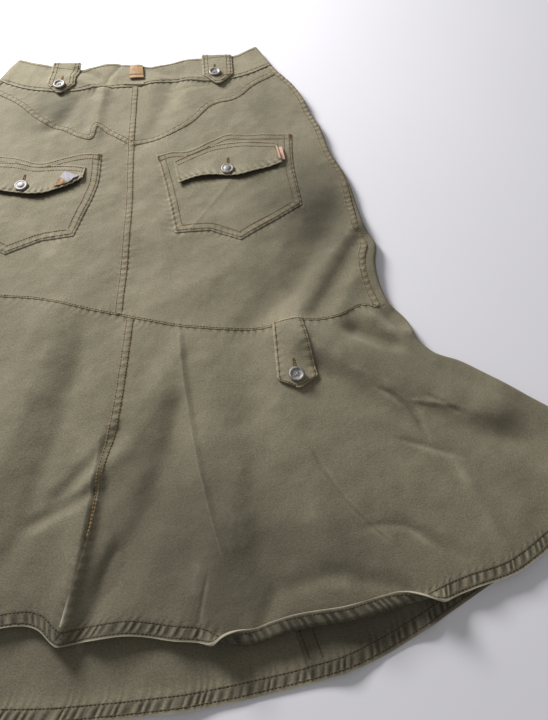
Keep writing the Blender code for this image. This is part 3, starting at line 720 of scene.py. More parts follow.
# %% [markdown]
# ## Yokes and back panels
# Both are Coons patches between the seam lines. The back panel's lowest few millimetres lie over
# the flounce, which shows as a fine pale edge along the seam.

# %% Yokes and back panels
PIECES = {}
BACK_COLUMNS = {"left": 96, "right": 118}


def outward_shares(count, even=0.45):
    """Shares from the centre outwards, close together at the centre."""
    t = np.linspace(0, 1, count + 1)
    return even * t + (1 - even) * t**2


def make_yoke(side):
    """The wedge between the waistband and the V seam."""
    edge, shares = EDGES[side], outward_shares(84, 1.0)
    waist, yoke = resample(WAIST[side], shares), resample(YOKE_LINE[side], shares)
    rows = np.linspace(0, 1, YOKE_ROWS + 1)
    end = resample(edge.seam[YOKE_PART], rows)
    plan = trim(patch(waist, yoke, np.linspace(waist[0], yoke[0], YOKE_ROWS + 1), end))
    height, wear_and_shading = surface(plan, ["waist", "yoke " + side, "centre", "side " + side])
    PIECES["yoke_" + side] = cloth("yoke_" + side, with_height(plan, height), wear_and_shading=wear_and_shading)


def make_back(side):
    """The back panel, whose foot lies over the flounce."""
    edge, shares = EDGES[side], outward_shares(BACK_COLUMNS[side], 1.0 if side == "right" else 0.6)
    yoke, foot = resample(YOKE_LINE[side], shares), resample(FOOT[side], shares)
    centre = smooth(CENTRE_SEAM, BACK_ROWS)
    plan = trim(patch(yoke, foot, centre, edge.seam[BACK_PART]))
    pocket = [POCKET_SEAMS[side]]
    height, wear_and_shading = surface(plan, ["yoke " + side, "centre", "foot", "side " + side] + pocket)
    distance, _ = SEAMS["foot"].measure(plan, 12)
    lap = np.exp(-(distance / 5.5) ** 2)
    wear_and_shading += 0.14 * np.exp(-(distance / 0.9) ** 2)
    PIECES["back_" + side] = cloth("back_" + side, with_height(plan, height + 0.35 * lap), wear_and_shading=wear_and_shading)


POCKETS = {
    "right": {
        "top": [(31, 159), (48, 153), (66, 152), (91, 138), (112, 129), (135, 131), (186, 132)],
        "bottom": [(54, 267), (91, 266), (122, 281), (189, 238)],
        "inner": [(31, 159), (41, 201), (54, 267)],
        "outer": [(186, 132), (184, 175), (189, 238)],
        "flap_top": [(51, 170), (70, 158), (91, 148), (122, 144), (167, 147)],
        "flap_edge": [(57, 203), (73, 196), (95, 193), (124, 195), (145, 189), (172, 180)],
        "button": (111, 186),
    },
    "left": {
        "top": [(-32, 150), (-51, 149), (-71, 153), (-95, 161), (-130, 150), (-183, 141)],
        "bottom": [(-51, 265), (-84, 268), (-118, 284), (-192, 238)],
        "inner": [(-32, 150), (-32, 190), (-51, 265)],
        "outer": [(-183, 141), (-183, 185), (-192, 238)],
        "flap_top": [(-47, 171), (-74, 167), (-95, 168), (-130, 160), (-167, 156)],
        "flap_edge": [(-48, 188), (-61, 198), (-77, 205), (-90, 209), (-125, 204), (-172, 190)],
        "button": (-112, 198),
    },
}


def straight(rows, count):
    """count + 1 points on straight stretches between the rows."""
    return resample(np.array(rows, dtype=float), np.linspace(0, 1, count + 1))


POCKET_OUTLINES = {
    side: np.vstack([smooth(lines["inner"], 60), straight(lines["bottom"], 80)[1:],
                     smooth(lines["outer"], 60)[-2::-1]])
    for side, lines in POCKETS.items()}
POCKET_SEAMS = {side: Seam(line, 120 + len(side), 3.0, 0.22)
                for side, line in POCKET_OUTLINES.items()}
for side in SIGNS:
    make_yoke(side)
    make_back(side)

# %% [markdown]
# ## Flounce
# The flounce starts a little under the back panels. Its hem is turned in and stitched twice, so
# the cloth there is double and ripples between the two rows of stitches. The rows past the hinge
# line bend by the hem line's own angle, flat at the sides and rolled back towards the middle.

# %% Back flounce with its hem
HEM_BEND = 5.5
HEM_STEPS = np.array([0.8, 1.6, 2.4, 3.2, 4.2, 5.4, 6.6, 7.8, 9, 10.2, 11.2, 12.2, 13])
HEM_STITCHES = (3.4, 10.9)            # from the hinge line
FLOUNCE_COLUMNS = {"left": 176, "right": 290}
STITCH_LINES = []                     # rows of points in millimetres, with the way out


def hem_ripple(name, along, step):
    """The ripple of a doubled hem: strongest between its two rows of stitches."""
    seam = SEAMS[name]
    between = np.exp(-((step - 7.2) / 2.5) ** 2)
    above = 0.35 * np.exp(-((step + 1.0) / 3.2) ** 2)
    return seam.ripple(along + 0.95 * step, 7.4) * (0.45 * between + above)


def hem_marks(along, steps, body_rows):
    """Place along the hem and strength of its ripple, for rows of cloth that end in the hem."""
    steps = np.concatenate([np.linspace(-60, -2, body_rows), steps])[:, None]
    strength = np.exp(-((steps - 7.2) / 3.4) ** 4) + 0.3 * np.exp(-((steps - 1) / 3.0) ** 2)
    return along + 0.5 * steps, strength + 0 * along


def make_flounce_back(side):
    """Half of the back flounce."""
    edge, sign, name = EDGES[side], SIGNS[side], "flounce_back_" + side
    shares = outward_shares(FLOUNCE_COLUMNS[side], 0.45 if side == "left" else 0.85)
    top = beyond(WHOLE_FOOT, JOIN, sign, shares)
    line = beyond(HINGE, JOIN_FOOT[0], sign, shares)
    seam = edge.seam[FLARE_PART][:FLOUNCE_ROWS + 1]
    plan = trim(patch(top, line[:, :2], FLOUNCE_LINE, seam))
    plan[0, :, 1] -= 3
    height, wear_and_shading = surface(plan, ["foot", "centre flounce"])
    distance, _ = SEAMS["foot"].measure(plan, 12)
    height -= 0.45 * np.exp(-(distance / 3.5) ** 2)
    # Painted shade on the flounce under the back panel's lapped edge.
    wear_and_shading -= 0.25 * np.exp(-(distance / 2.0) ** 2)
    low = np.clip((plan[..., 1] - 498) / 30, 0, 1)
    across = np.abs(plan[..., 0] - plan[:, :1, 0])
    height += low * np.exp(-(across / 3.5) ** 2) * (0.9 if side == "right" else -0.5)
    # A pale edge on the raised right side of the centre seam, and painted shade on the lower left side beside
    # it.
    wear_and_shading += low * (0.6 * np.exp(-(across / 1.2) ** 2) if side == "right" else
                   -0.3 * np.exp(-(across / 4) ** 2))
    middle = with_height(plan, height)
    out = np.zeros_like(middle) + [0.0, 0.0, 1.0]
    body_part = slice(FLARE_AT, FLARE_AT + FLOUNCE_ROWS + 1)
    turned = list(edge.turn(body_part, 90, 8, 6))
    middle = np.concatenate([middle[:, :-1], np.stack([m for m, _ in turned], 1)], axis=1)
    out = np.concatenate([out[:, :-1], np.stack([o for _, o in turned], 1)], axis=1)
    extra = middle.shape[1] - wear_and_shading.shape[1]
    wear_and_shading = np.concatenate([wear_and_shading, np.repeat(wear_and_shading[:, -1:], extra, axis=1)], axis=1)
    line = np.vstack([line, line[-1:] + np.cumsum(np.ones((extra, 1)), axis=0) * [1.5 * sign, 0, 0]])

    turn = np.radians(line[:, 2])
    way = middle[-1] - middle[-7]
    way /= np.linalg.norm(way, axis=-1, keepdims=True)
    rise = np.cross(np.cross(way, out[-1]), way)
    rise /= np.linalg.norm(rise, axis=-1, keepdims=True)
    rows, outs, last = [middle[-1]], [rise], 0.0
    for step in HEM_STEPS:
        bent = (turn * min(step, HEM_BEND) / HEM_BEND)[:, None]
        half_way = (turn * min((step + last) / 2, HEM_BEND) / HEM_BEND)[:, None]
        rows.append(rows[-1] + (np.cos(half_way) * way + np.sin(half_way) * rise) * (step - last))
        outs.append(np.cos(bent) * rise - np.sin(bent) * way)
        last = step
    out = np.concatenate([out[:-1], np.stack(outs)])
    middle = np.concatenate([middle[:-1], np.stack(rows)])
    along = np.concatenate([[0], np.cumsum(np.linalg.norm(np.diff(line[:, :2], axis=0), axis=1))])
    steps_down = np.concatenate([[0], HEM_STEPS])
    body = len(height) - 1
    for row in range(body - 4, len(middle)):
        step = steps_down[row - body] if row >= body else (row - body) * 2.2
        ripple = hem_ripple("foot", along, step)
        middle[row] += out[row] * ripple[:, None]
        if row < len(wear_and_shading):
            # Painted light and shade on the ripple: crests lighter, troughs darker.
            wear_and_shading[row] += 0.25 * ripple
    # The turned hem's marks: painted light and shade on its ripple, a pale fold edge, and painted shade in
    # the grooves of its two rows of stitches.
    hem_wear_and_shading = np.stack([-0.04 + 0.15 * hem_ripple("foot", along, step)
                         + 0.55 * np.exp(-((step - 13) / 1.1) ** 2)
                         - 0.34 * np.exp(-((step - HEM_STITCHES[0]) / 1.0) ** 2)
                         - 0.34 * np.exp(-((step - HEM_STITCHES[1]) / 1.0) ** 2)
                         for step in HEM_STEPS])
    below = np.full(len(middle), WALL / 2)
    below[body + 2:] += 0.95
    below[body + 1] += 0.5
    PIECES[name] = cloth(name, middle, out, below=below[:, None],
                         wear_and_shading=np.concatenate([wear_and_shading, hem_wear_and_shading]),
                         hem=hem_marks(along, HEM_STEPS, len(wear_and_shading)))
    for step in HEM_STITCHES:
        row = np.stack([np.interp(step, steps_down, column) for column in
                        middle[body:].reshape(len(steps_down), -1).T]).reshape(-1, 3)
        way_out = out[body + int(np.searchsorted(steps_down, step))]
        STITCH_LINES.append(("hem", row + way_out * (WALL / 2 + 0.05)))
        STITCH_LINES.append(("hem inside", row - way_out * (WALL / 2 + 0.95)))


for side in SIGNS:
    make_flounce_back(side)

# %% [markdown]
# ## Front panels
# The front lies on the surface under the back. Each side piece runs from the middle of the floor
# side, round the side edge and up to the side seam, in one grid. Past the back's hem the front
# flounce shows its inside, with small waves of its own and its hem's raw turn.

# %% Front panels
FRONT_WAVES = [
    # from across, down, to across, down, half width, height
    (150, 560, 190, 680, 14, 2.6), (215, 560, 255, 650, 12, 3.0), (290, 540, 330, 620, 14, 2.0),
    (60, 600, 70, 690, 16, 2.4), (-30, 600, -20, 690, 14, 2.0), (-150, 590, -170, 680, 18, 2.6),
    (-290, 560, -330, 620, 16, 2.4), (190, 600, 222, 668, 6, -1.0), (345, 520, 400, 575, 10, 1.6),
]


def front_height(plan):
    """Height of the lower layer: flat, with low waves past the back's hem."""
    total = np.zeros(plan.shape[:-1])
    for x0, d0, x1, d1, width, height in FRONT_WAVES:
        way = np.array([x1 - x0, d1 - d0], dtype=float)
        length = np.hypot(*way)
        rel = plan - [x0, d0]
        s, off = rel @ way / length**2, rel @ [way[1], -way[0]] / length / width
        past = np.maximum(np.maximum(-s, s - 1), 0) * length / 18
        total += height * np.exp(-off**2 - past**2)
    edge = np.interp(plan[..., 0], *np.array(FRONT_HEM, dtype=float).T) - plan[..., 1]
    free = np.clip((130 - edge) / 60, 0, 1)
    return FLOOR_MID + free * np.maximum(total + 0.5 * noise(plan[..., 0] / 21, plan[..., 1] / 16, 31)
                                         + 0.3, 0)


def wrapped(name, side, part, top, foot, columns, hem_rows=0):
    """A front piece in one grid, from the surface round the side edge to the side seam."""
    edge, sign = EDGES[side], SIGNS[side]
    turned = list(edge.turn(part, end=4 if hem_rows else 90, steps=6 if hem_rows else 10))
    start = turned[0][0][:, :2]
    steps = np.linalg.norm(np.diff(edge.line[part], axis=0), axis=1)
    share = np.concatenate([[0], np.cumsum(steps)])[:, None] / steps.sum()
    top = half(top[0], top[1], start[0], columns)
    foot = half(foot[0], foot[1], start[-1], columns)
    flat = trim(patch(top, foot, top[0] * (1 - share) + foot[0] * share, start))
    flat[:, -1] = start
    near = np.clip(np.linalg.norm(flat - start[:, None], axis=-1) / 25, 0, 1)
    height = FLOOR_MID + (front_height(flat) - FLOOR_MID) * near * near
    if not hem_rows:
        seam = np.column_stack([edge.seam[part] + edge.normal[part] * 0.15, edge.height[part]])
        turned.append((seam, np.tile([0.0, 0.0, 1.0], (len(start), 1))))
    middle = np.concatenate([with_height(flat, height), np.stack([m for m, _ in turned[1:]], 1)], 1)
    down = np.broadcast_to([0.0, 0.0, -1.0], flat.shape[:2] + (3,))
    out = np.concatenate([down, np.stack([o for _, o in turned[1:]], axis=1)], axis=1)
    seams = [SEAMS["side " + side], SEAMS["foot"]]
    ripple, wear_and_shading = edge_puckers(middle[..., :2], seams)
    on_top = out[..., 2:] > 0.2
    middle = middle + out * ripple[..., None] * on_top
    wear_and_shading = wear_and_shading * on_top[..., 0] + 0.12 * np.exp(-((out[..., 2] - 0.1) / 0.3) ** 2)
    below, marks = np.full(middle.shape[:2], WALL / 2), (0.0, 0.0)
    if hem_rows:
        along = np.cumsum(np.linalg.norm(np.diff(middle, axis=1, prepend=middle[:, :1]), axis=-1), axis=1)
        for back in range(hem_rows + 1):
            step = 13 * (1 - back / hem_rows)
            ripple = SEAMS["foot"].ripple(along[-1 - back] + 0.9 * step, 7.2)
            ripple *= 0.25 * np.exp(-((step - 7) / 3.0) ** 2)
            middle[-1 - back] -= out[-1 - back] * np.abs(ripple)[:, None]
            below[-1 - back] += 0.85 if back < hem_rows else 0.3
            wear_and_shading[-1 - back] += 0.3 * exp_hump(step, 13, 1.5)
        marks = hem_marks(along[-1], np.linspace(0, 13, hem_rows + 1), len(wear_and_shading) - hem_rows - 1)
    obj = cloth(name, middle, out, below=below, wear_and_shading=wear_and_shading, hem=marks)
    if hem_rows:
        for back in (2, 7):
            row, way_out = middle[-1 - back], out[-1 - back]
            STITCH_LINES.append(("front hem", row - way_out * (WALL / 2 + 0.87)))
    return obj


def exp_hump(x, middle, width):
    """A bell curve."""
    return float(np.exp(-((x - middle) / width) ** 2))


for side, columns in (("left", 12), ("right", 12)):
    PIECES["front_" + side] = wrapped("front_" + side, side, FRONT_PART, (FRONT_WAIST_SEAM, 0),
                                      (FRONT_FLOUNCE_SEAM, 0), columns)
for side, columns in (("left", 56), ("right", 110)):
    join_top, join_foot = FRONT_JOINS[side]
    PIECES["flounce_front_" + side] = wrapped(
        "flounce_front_" + side, side, FLARE_PART, (FRONT_FLOUNCE_SEAM, join_top),
        (FRONT_HEM, join_foot), columns, HEM_ROWS)


def make_front_centre():
    """The middle panel of the front flounce, with its hem."""
    (left_top, left_foot), (right_top, right_foot) = FRONT_JOINS["left"], FRONT_JOINS["right"]
    lines = []
    for rows, left, right in ((FRONT_FLOUNCE_SEAM, left_top, right_top), (FRONT_HEM, left_foot, right_foot)):
        lines.append(smooth(rows, 110, share_at(rows, left), share_at(rows, right)))
    body = 1 - HEM / 275
    share = np.concatenate([np.linspace(0, body, 56), np.linspace(body, 1, HEM_ROWS + 1)[1:]])
    plan = trim((1 - share)[:, None, None] * lines[0][None] + share[:, None, None] * lines[1][None])
    middle = with_height(plan, front_height(plan))
    below = np.full(plan.shape[:2], WALL / 2)
    above = below.copy()
    wear_and_shading = np.zeros(plan.shape[:2])
    along = np.cumsum(np.linalg.norm(np.diff(plan, axis=1, prepend=plan[:, :1]), axis=-1), axis=1)
    for back in range(HEM_ROWS + 1):
        step = 13 * (1 - back / HEM_ROWS)
        ripple = SEAMS["foot"].ripple(along[-1 - back] + 0.9 * step, 7.2)
        ripple *= 0.25 * np.exp(-((step - 7) / 3.0) ** 2)
        middle[-1 - back, :, 2] += np.abs(ripple)
        above[-1 - back] += 0.85 if back < HEM_ROWS else 0.3
        wear_and_shading[-1 - back] = 0.3 * exp_hump(step, 13, 1.5)
    for back in (2, 7):
        row = middle[-1 - back] + np.stack([0 * along[0], 0 * along[0], above[-1 - back] + 0.02], -1)
        STITCH_LINES.append(("front hem", row))
    marks = hem_marks(along[-1], np.linspace(0, 13, HEM_ROWS + 1), len(wear_and_shading) - HEM_ROWS - 1)
    PIECES["flounce_front_centre"] = cloth("flounce_front_centre", middle, above=above, below=below,
                                           wear_and_shading=wear_and_shading, hem=marks)


make_front_centre()
for side, (join_top, join_foot) in FRONT_JOINS.items():
    top = np.array([join_top, np.interp(join_top, *np.array(FRONT_FLOUNCE_SEAM, dtype=float).T)])
    foot = np.array([join_foot, np.interp(join_foot, *np.array(FRONT_HEM, dtype=float).T) - 14])
    for inset in (-1.3, 8.4):
        row = top + (foot - top) * np.linspace(0.3, 1, 240)[:, None] + [inset * SIGNS[side], 0]
        STITCH_LINES.append(("front hem", with_height(row, front_height(row) + WALL / 2 + 0.1)))

# %% [markdown]
# ## Waistband, fly shield and hook
# The band is one ring round both layers, thick with its interlining. It stands a little above
# the yoke, so its lower edge draws a single dark line.

# %% Waistband and closing
BAND_LAP = 0.08
BACK_BAND_COLUMNS = 170


def make_waistband():
    """One band round the whole waist; its ends lap at the centre front."""
    down = np.linspace(0, 1, BAND_ROWS + 1)
    columns, on_top = [], []

    def front_column(share, height):
        top, seam = (smooth(rows, 1, share, share)[0] for rows in (FRONT_WAIST_TOP, FRONT_WAIST_SEAM))
        place = top * (1 - down[:, None]) + seam * down[:, None]
        columns.append((np.column_stack([place, np.full(len(place), FLOOR_MID + 0.6 + height)]),
                        np.tile([0.0, 0.0, -1.0], (len(place), 1))))
        on_top.append(0)

    lap_start, lap_end = 0.5 + BAND_LAP / 2, 0.5 - BAND_LAP / 2
    for share in np.linspace(lap_start, lap_end, 6):
        front_column(share, BAND_WALL + 0.2)
    for share in np.linspace(lap_end - BAND_LAP / 2, 0.04, 22):
        front_column(share, 0)
    for middle, out in EDGES["left"].turn(BAND_PART):
        columns.append((middle + out * [0.0, 0.0, 0.4], out))
        on_top.append(0)
    back_top = smooth(WAIST_TOP, BACK_BAND_COLUMNS)
    back_seam = np.vstack([WAIST["left"][::-1], WAIST["right"][1:]])
    back_seam = resample(back_seam, np.linspace(0, 1, BACK_BAND_COLUMNS + 1))
    for top, seam in zip(back_top[3:-3], back_seam[3:-3]):
        place = top * (1 - down[:, None]) + (seam + [0, 0.8]) * down[:, None]
        columns.append((np.column_stack([place, np.zeros(len(place))]),
                        np.tile([0.0, 0.0, 1.0], (len(place), 1))))
        on_top.append(1)
    for middle, out in EDGES["right"].turn(BAND_PART, 90, -90):
        columns.append((middle + out * [0.0, 0.0, 0.4], out))
        on_top.append(0)
    for share in np.linspace(0.96, lap_end, 26):
        front_column(share, 0)
    middle = np.stack([column for column, _ in columns], axis=1)
    out = np.stack([direction for _, direction in columns], axis=1)
    on_top = np.array(on_top, dtype=bool)
    plan = middle[:, on_top, :2]
    ripple, wear_top = edge_puckers(plan, [SEAMS["waist"]])
    middle[:, on_top, 2] = relief(plan) + 0.35 + 0.6 * ripple
    wear_and_shading = np.zeros(middle.shape[:2])
    wear_and_shading[:, on_top] = wear_top
    rows = down[:, None] * 40
    wear_and_shading += 0.30 * np.exp(-(rows / 1.5) ** 2) + 0.10 * np.exp(-((rows - 40) / 1.3) ** 2)
    # Painted shade in the grooves of the band's two rows of stitches.
    wear_and_shading -= 0.25 * np.exp(-((rows - 36.6) / 0.9) ** 2) + 0.2 * np.exp(-((rows - 3.4) / 0.9) ** 2)
    wear_and_shading += 0.16 * noise(np.arange(middle.shape[1]) / 2.2, np.zeros(middle.shape[1]), 77)[None]
    wall = np.full(middle.shape[:2], BAND_WALL / 2) - 0.35 * np.exp(-(rows / 1.2) ** 2)
    PIECES["waistband"] = cloth("waistband", middle, out, above=wall, below=wall, wear_and_shading=wear_and_shading)


make_waistband()


def flat_piece(name, across, down, height, steps, wall=WALL):
    """A small flat rectangle of cloth or metal."""
    plan = np.stack(np.meshgrid(np.linspace(*across, steps[0]), np.linspace(*down, steps[1])), -1)
    return cloth(name, with_height(plan, np.full(plan.shape[:2], height)), above=wall / 2, below=wall / 2)


PIECES["fly_shield"] = flat_piece("fly_shield", (-20, 20), (54, 200), FLOOR_MID + LAYER, (14, 50))
PIECES["waist_hook"] = flat_piece("waist_hook", (-6, 6), (22, 30), FLOOR_MID + 2 * LAYER + 2.4, (6, 5), 0.8)

# %% [markdown]
# ## Pockets, flaps and tabs
# Each of these lies on what is under it, so it takes the same height and adds a layer. Its edges
# are turned under, so the rim is bent down, and the twin stitching ripples it; the grooves of the
# stitching are painted darker as shade. A flap's edge and a tab's tip stand off the cloth, which
# draws the dark line below them, and under a flap's edge a shadow is also painted on the pocket.


# %% Pockets and flaps
def rim_distance(plan):
    """Distance of each grid point from the grid's edge, along rows and columns."""
    rows = np.cumsum(np.linalg.norm(np.diff(plan, axis=0, prepend=plan[:1]), axis=-1), axis=0)
    columns = np.cumsum(np.linalg.norm(np.diff(plan, axis=1, prepend=plan[:, :1]), axis=-1), axis=1)
    return np.minimum(np.minimum(rows, rows[-1:] - rows), np.minimum(columns, columns[:, -1:] - columns))


def edge_wear_and_groove_shade(distance, bright=0.42, rows=(2.6, 8.8)):
    """A pale edge, with painted shade in the grooves where the rows of stitches pull the cloth down."""
    wear_and_shading = bright * np.exp(-(distance / 1.0) ** 2) + 0.07 * np.exp(-((distance - 5.6) / 1.8) ** 2)
    # Painted shade in the groove of each row of stitches.
    for row in rows:
        wear_and_shading = wear_and_shading - 0.30 * np.exp(-((distance - row) / 0.8) ** 2)
    return wear_and_shading


def make_pocket(side):
    """A patch pocket, with a painted shadow under its flap's free edge."""
    lines = POCKETS[side]
    top, bottom = smooth(lines["top"], 96), straight(lines["bottom"], 96)
    plan = patch(top, bottom, smooth(lines["inner"], 78), smooth(lines["outer"], 78))
    height, wear_and_shading = surface(plan, [POCKET_SEAMS[side]], 1)
    distance = rim_distance(plan)
    height = height - 0.5 * np.exp(-(distance / 1.0) ** 2) + 0.15
    flap = smooth(lines["flap_edge"], 84)
    # A painted shadow on the pocket along the flap's free edge, within the flap's length.
    under_flap, _ = Seam(flap, 0).measure(plan, 14)
    inside = np.clip((np.ptp(flap[:, 0]) / 2 - 3 - np.abs(plan[..., 0] - flap[[0, -1], 0].mean())) / 3, 0, 1)
    wear_and_shading = wear_and_shading - 2.2 * inside * np.exp(-((np.abs(under_flap) - 0.4) / 1.9) ** 2)
    PIECES["pocket_" + side] = cloth("pocket_" + side, with_height(plan, height),
                                     wear_and_shading=wear_and_shading + edge_wear_and_groove_shade(distance, 0.2))


def make_flap(side):
    """A pocket flap, lifted along its free edge."""
    lines = POCKETS[side]
    top, edge = smooth(lines["flap_top"], 84), smooth(lines["flap_edge"], 84)
    share = np.linspace(0, 1, 30)[:, None, None]
    plan = (1 - share) * top[None] + share * edge[None]
    distance = rim_distance(plan)
    seam = Seam(edge, 140 + len(side), 4.5, 0.5)
    height, wear_and_shading = surface(plan, [seam], 2)
    share = share[..., 0]
    wave = 0.6 * np.sin(plan[..., 0] / 17 + 1.3) + 0.5 * noise(plan[..., 0] / 14, plan[..., 1] / 30, 51)
    button = np.exp(-(np.linalg.norm(plan - lines["button"], axis=-1) / 14) ** 2)
    height += 0.3 + share**2 * (2.8 + 1.7 * wave) * (1 - 0.55 * button) + 0.35 * np.sin(pi * share)
    below = WALL / 2 + 0.55 * np.exp(-((distance - 2) / 2.2) ** 2)
    PIECES["pocket_flap_" + side] = cloth("pocket_flap_" + side, with_height(plan, height), below=below,
                                          wear_and_shading=wear_and_shading * 0.8 + edge_wear_and_groove_shade(distance, 0.36, (2.6,)))


for side in SIGNS:
    make_pocket(side)
    make_flap(side)

# %% Tabs
TABS = {
    # name: middle of the top, middle of the tip, top width, shoulder width, shoulder from tip
    "waist_tab_right": ((101, -12), (103, 43), 38, 37, 17),
    "waist_tab_left": ((-87, -7), (-92, 48), 35, 34, 16),
    "flounce_tab_right": ((162, 380), (169, 448), 27, 37, 11),
    "flounce_tab_left": ((-162, 334), (-170, 402), 27, 37, 11),
}
TAB_OUTLINES = {}


def make_tab(name):
    """A pointed tab, straight to its shoulders, with its tip off the cloth."""
    top, tip, top_width, shoulder_width, back = TABS[name]
    top, tip = np.array(top, dtype=float), np.array(tip, dtype=float)
    length = np.hypot(*(tip - top))
    along = (tip - top) / length
    across = np.array([along[1], -along[0]])
    s = np.concatenate([np.linspace(0, length - back, 38), np.linspace(length - back, length, 15)[1:]])
    width = np.interp(s, [0, length - back, length - back + 2, length - 1.5, length],
                      [top_width / 2, shoulder_width / 2, shoulder_width / 2 - 1.8,
                       shoulder_width / 9, shoulder_width / 12])
    sag = 0.6 * np.exp(-((s - length) / 3) ** 2)
    t = np.linspace(-1, 1, 33)
    plan = (top + along * s[:, None, None] + across * (width[:, None] * t)[..., None]
            - along * (sag[:, None] * t**2)[..., None])
    height, wear_and_shading = surface(plan, [], 1)
    distance = rim_distance(plan)
    share = (s / length)[:, None]
    ripple = np.sin(2 * pi * s[:, None] / 7.1 + t * 1.5 + len(name))
    ripple = ripple * np.exp(-((np.abs(t) - 0.85) / 0.25) ** 2)
    height += 0.9 + share**3 * (1.6 if "flounce" in name else 1.3) + 0.28 * ripple
    height += 0.35 * (1 - t**2) - 0.35 * np.exp(-(distance / 1.0) ** 2)
    if "waist" in name:
        height += 0.8
    wear_and_shading = wear_and_shading * 0.6 + edge_wear_and_groove_shade(distance, 0.36, (2.4,)) + 0.12 * ripple
    PIECES[name] = cloth(name, with_height(plan, height), below=WALL / 2 + 0.6, wear_and_shading=wear_and_shading)
    for inset in (2.2,) if "flounce" in name else (2.6, 7.0):
        w, e = np.maximum(width - inset, 0.6), length - inset
        keep = s <= e
        right = top + along * s[keep, None] + across * w[keep, None]
        left = top + along * s[keep, None] - across * w[keep, None]
        TAB_OUTLINES.setdefault(name, []).append(np.vstack([left, right[::-1]]))


for name in TABS:
    make_tab(name)

# %% [markdown]
# ## Felled seams
# A felled seam is a narrow ribbon of folded cloth with a row of stitches near each edge. The
# rows pull it down, so each ripple bulges between them.


# %% Felled seam ribbons
RIBBON_ROWS = []


def make_ribbon(name, seam_name, width=7.6, lift=0.62, trim_ends=(0, 0), taper=0):
    """A ribbon of double cloth along a seam; it may narrow to nothing at its far end."""
    seam = SEAMS[seam_name]
    count = int(seam.along[-1] / 1.15)
    start, end = trim_ends[0] / seam.along[-1], 1 - trim_ends[1] / seam.along[-1]
    line = resample(seam.line, np.linspace(start, end, count))
    normal = normals_of(line)
    t = np.linspace(-1, 1, 11)
    along = np.linspace(start, end, count)[:, None] * seam.along[-1]
    width = width * np.clip((along[-1] - along) / taper, 0.08, 1) if taper else width + 0 * along
    plan = line[:, None] + normal[:, None] * (t * width / 2)[..., None]
    for row in (-0.76, 0.76):
        RIBBON_ROWS.append(line + normal * (row * width / 2))
    ripple = seam.ripple(along + 0.35 * np.abs(t) * width / 2) * np.minimum(width / 7, 1)
    bulge = 0.55 * np.exp(-(t / 0.5) ** 2)
    height = relief(plan) + lift + ripple * (seam.depth + 0.28 * bulge) + bulge * 0.25
    if "side" in name:
        edge = Seam(EDGES[name.split("_")[-1]].line[YOKE_AT:FLARE_AT + 1], 0)
        inset, radius = np.abs(edge.measure(plan, 30)[0]), 3.4
        height -= radius * (1 - np.sqrt(1 - np.clip(1 - inset / radius, 0, 0.98) ** 2))
    height -= 0.45 * np.exp(-((np.abs(t) - 1) / 0.14) ** 2) + 0.16 * np.exp(-((np.abs(t) - 0.74) / 0.14) ** 2)
    # Pale rubbed puckers and edges, and painted shade in the grooves of the two rows of stitches.
    wear_and_shading = (0.03 + 0.24 * ripple * np.exp(-(t / 0.7) ** 2) + 0.10 * np.exp(-((np.abs(t) - 1) / 0.12) ** 2)
            - 0.30 * np.exp(-((np.abs(t) - 0.76) / 0.14) ** 2))
    return cloth(name, with_height(plan, height), above=0.35, below=0.35, wear_and_shading=wear_and_shading)


RIBBONS = {}
for name, seam_name, ends in (
        ("seam_yoke_left", "yoke left", (0, 1)), ("seam_yoke_right", "yoke right", (0, 1)),
        ("seam_centre", "centre", (0.5, 1)), ("seam_centre_flounce", "centre flounce", (1.5, 60)),
        ("seam_side_left", "side left", (1, 1)), ("seam_side_right", "side right", (1, 1))):
    RIBBONS[name] = make_ribbon(name, seam_name, trim_ends=ends,
                                lift=0.72 if "centre" in name else 0.62,
                                taper=95 if name == "seam_centre_flounce" else 0)

# %% [markdown]
# ## Finding the top of the cloth
# Thread, buttons and labels sit on whatever is uppermost. A ray dropped on the finished pieces
# gives that height exactly, ripples and layers included.


# %% Drop on to the cloth
def tree_of(pieces):
    """One search tree for several pieces."""
    points, faces, first = [], [], 0
    for obj in pieces:
        mesh = obj.data
        points += [vertex.co.copy() for vertex in mesh.vertices]
        faces += [[first + i for i in polygon.vertices] for polygon in mesh.polygons]
        first = len(points)
    return BVHTree.FromPolygons(points, faces)


TOP = tree_of([obj for name, obj in {**PIECES, **RIBBONS}.items()
               if not name.startswith(("front", "flounce_front", "fly", "waist_hook"))])


def drop(plan, tree=TOP):
    """Heights of the uppermost cloth at places of the plan, in millimetres."""
    plan = np.asarray(plan, dtype=float)
    flat = to_world(with_height(plan, np.zeros(plan.shape[:-1]))).reshape(-1, 3)
    heights = []
    for x, y, _ in flat:
        hit = tree.ray_cast(Vector((x, y, 0.1)), Vector((0, 0, -1)))[0]
        heights.append(hit.z / MM if hit else 1.0)
    return np.array(heights).reshape(plan.shape[:-1])


print("top of the right pocket flap, mm:", drop([[111, 186]]).round(1))

# %% [markdown]
# ## Buttons
# A stamped metal button is a turned profile: a rolled rim round a dished middle. The tabs' buttons
# are sewn on through four holes, each a thin near-black disc of painted shade. The pockets' have a
# shank and a plain domed middle.

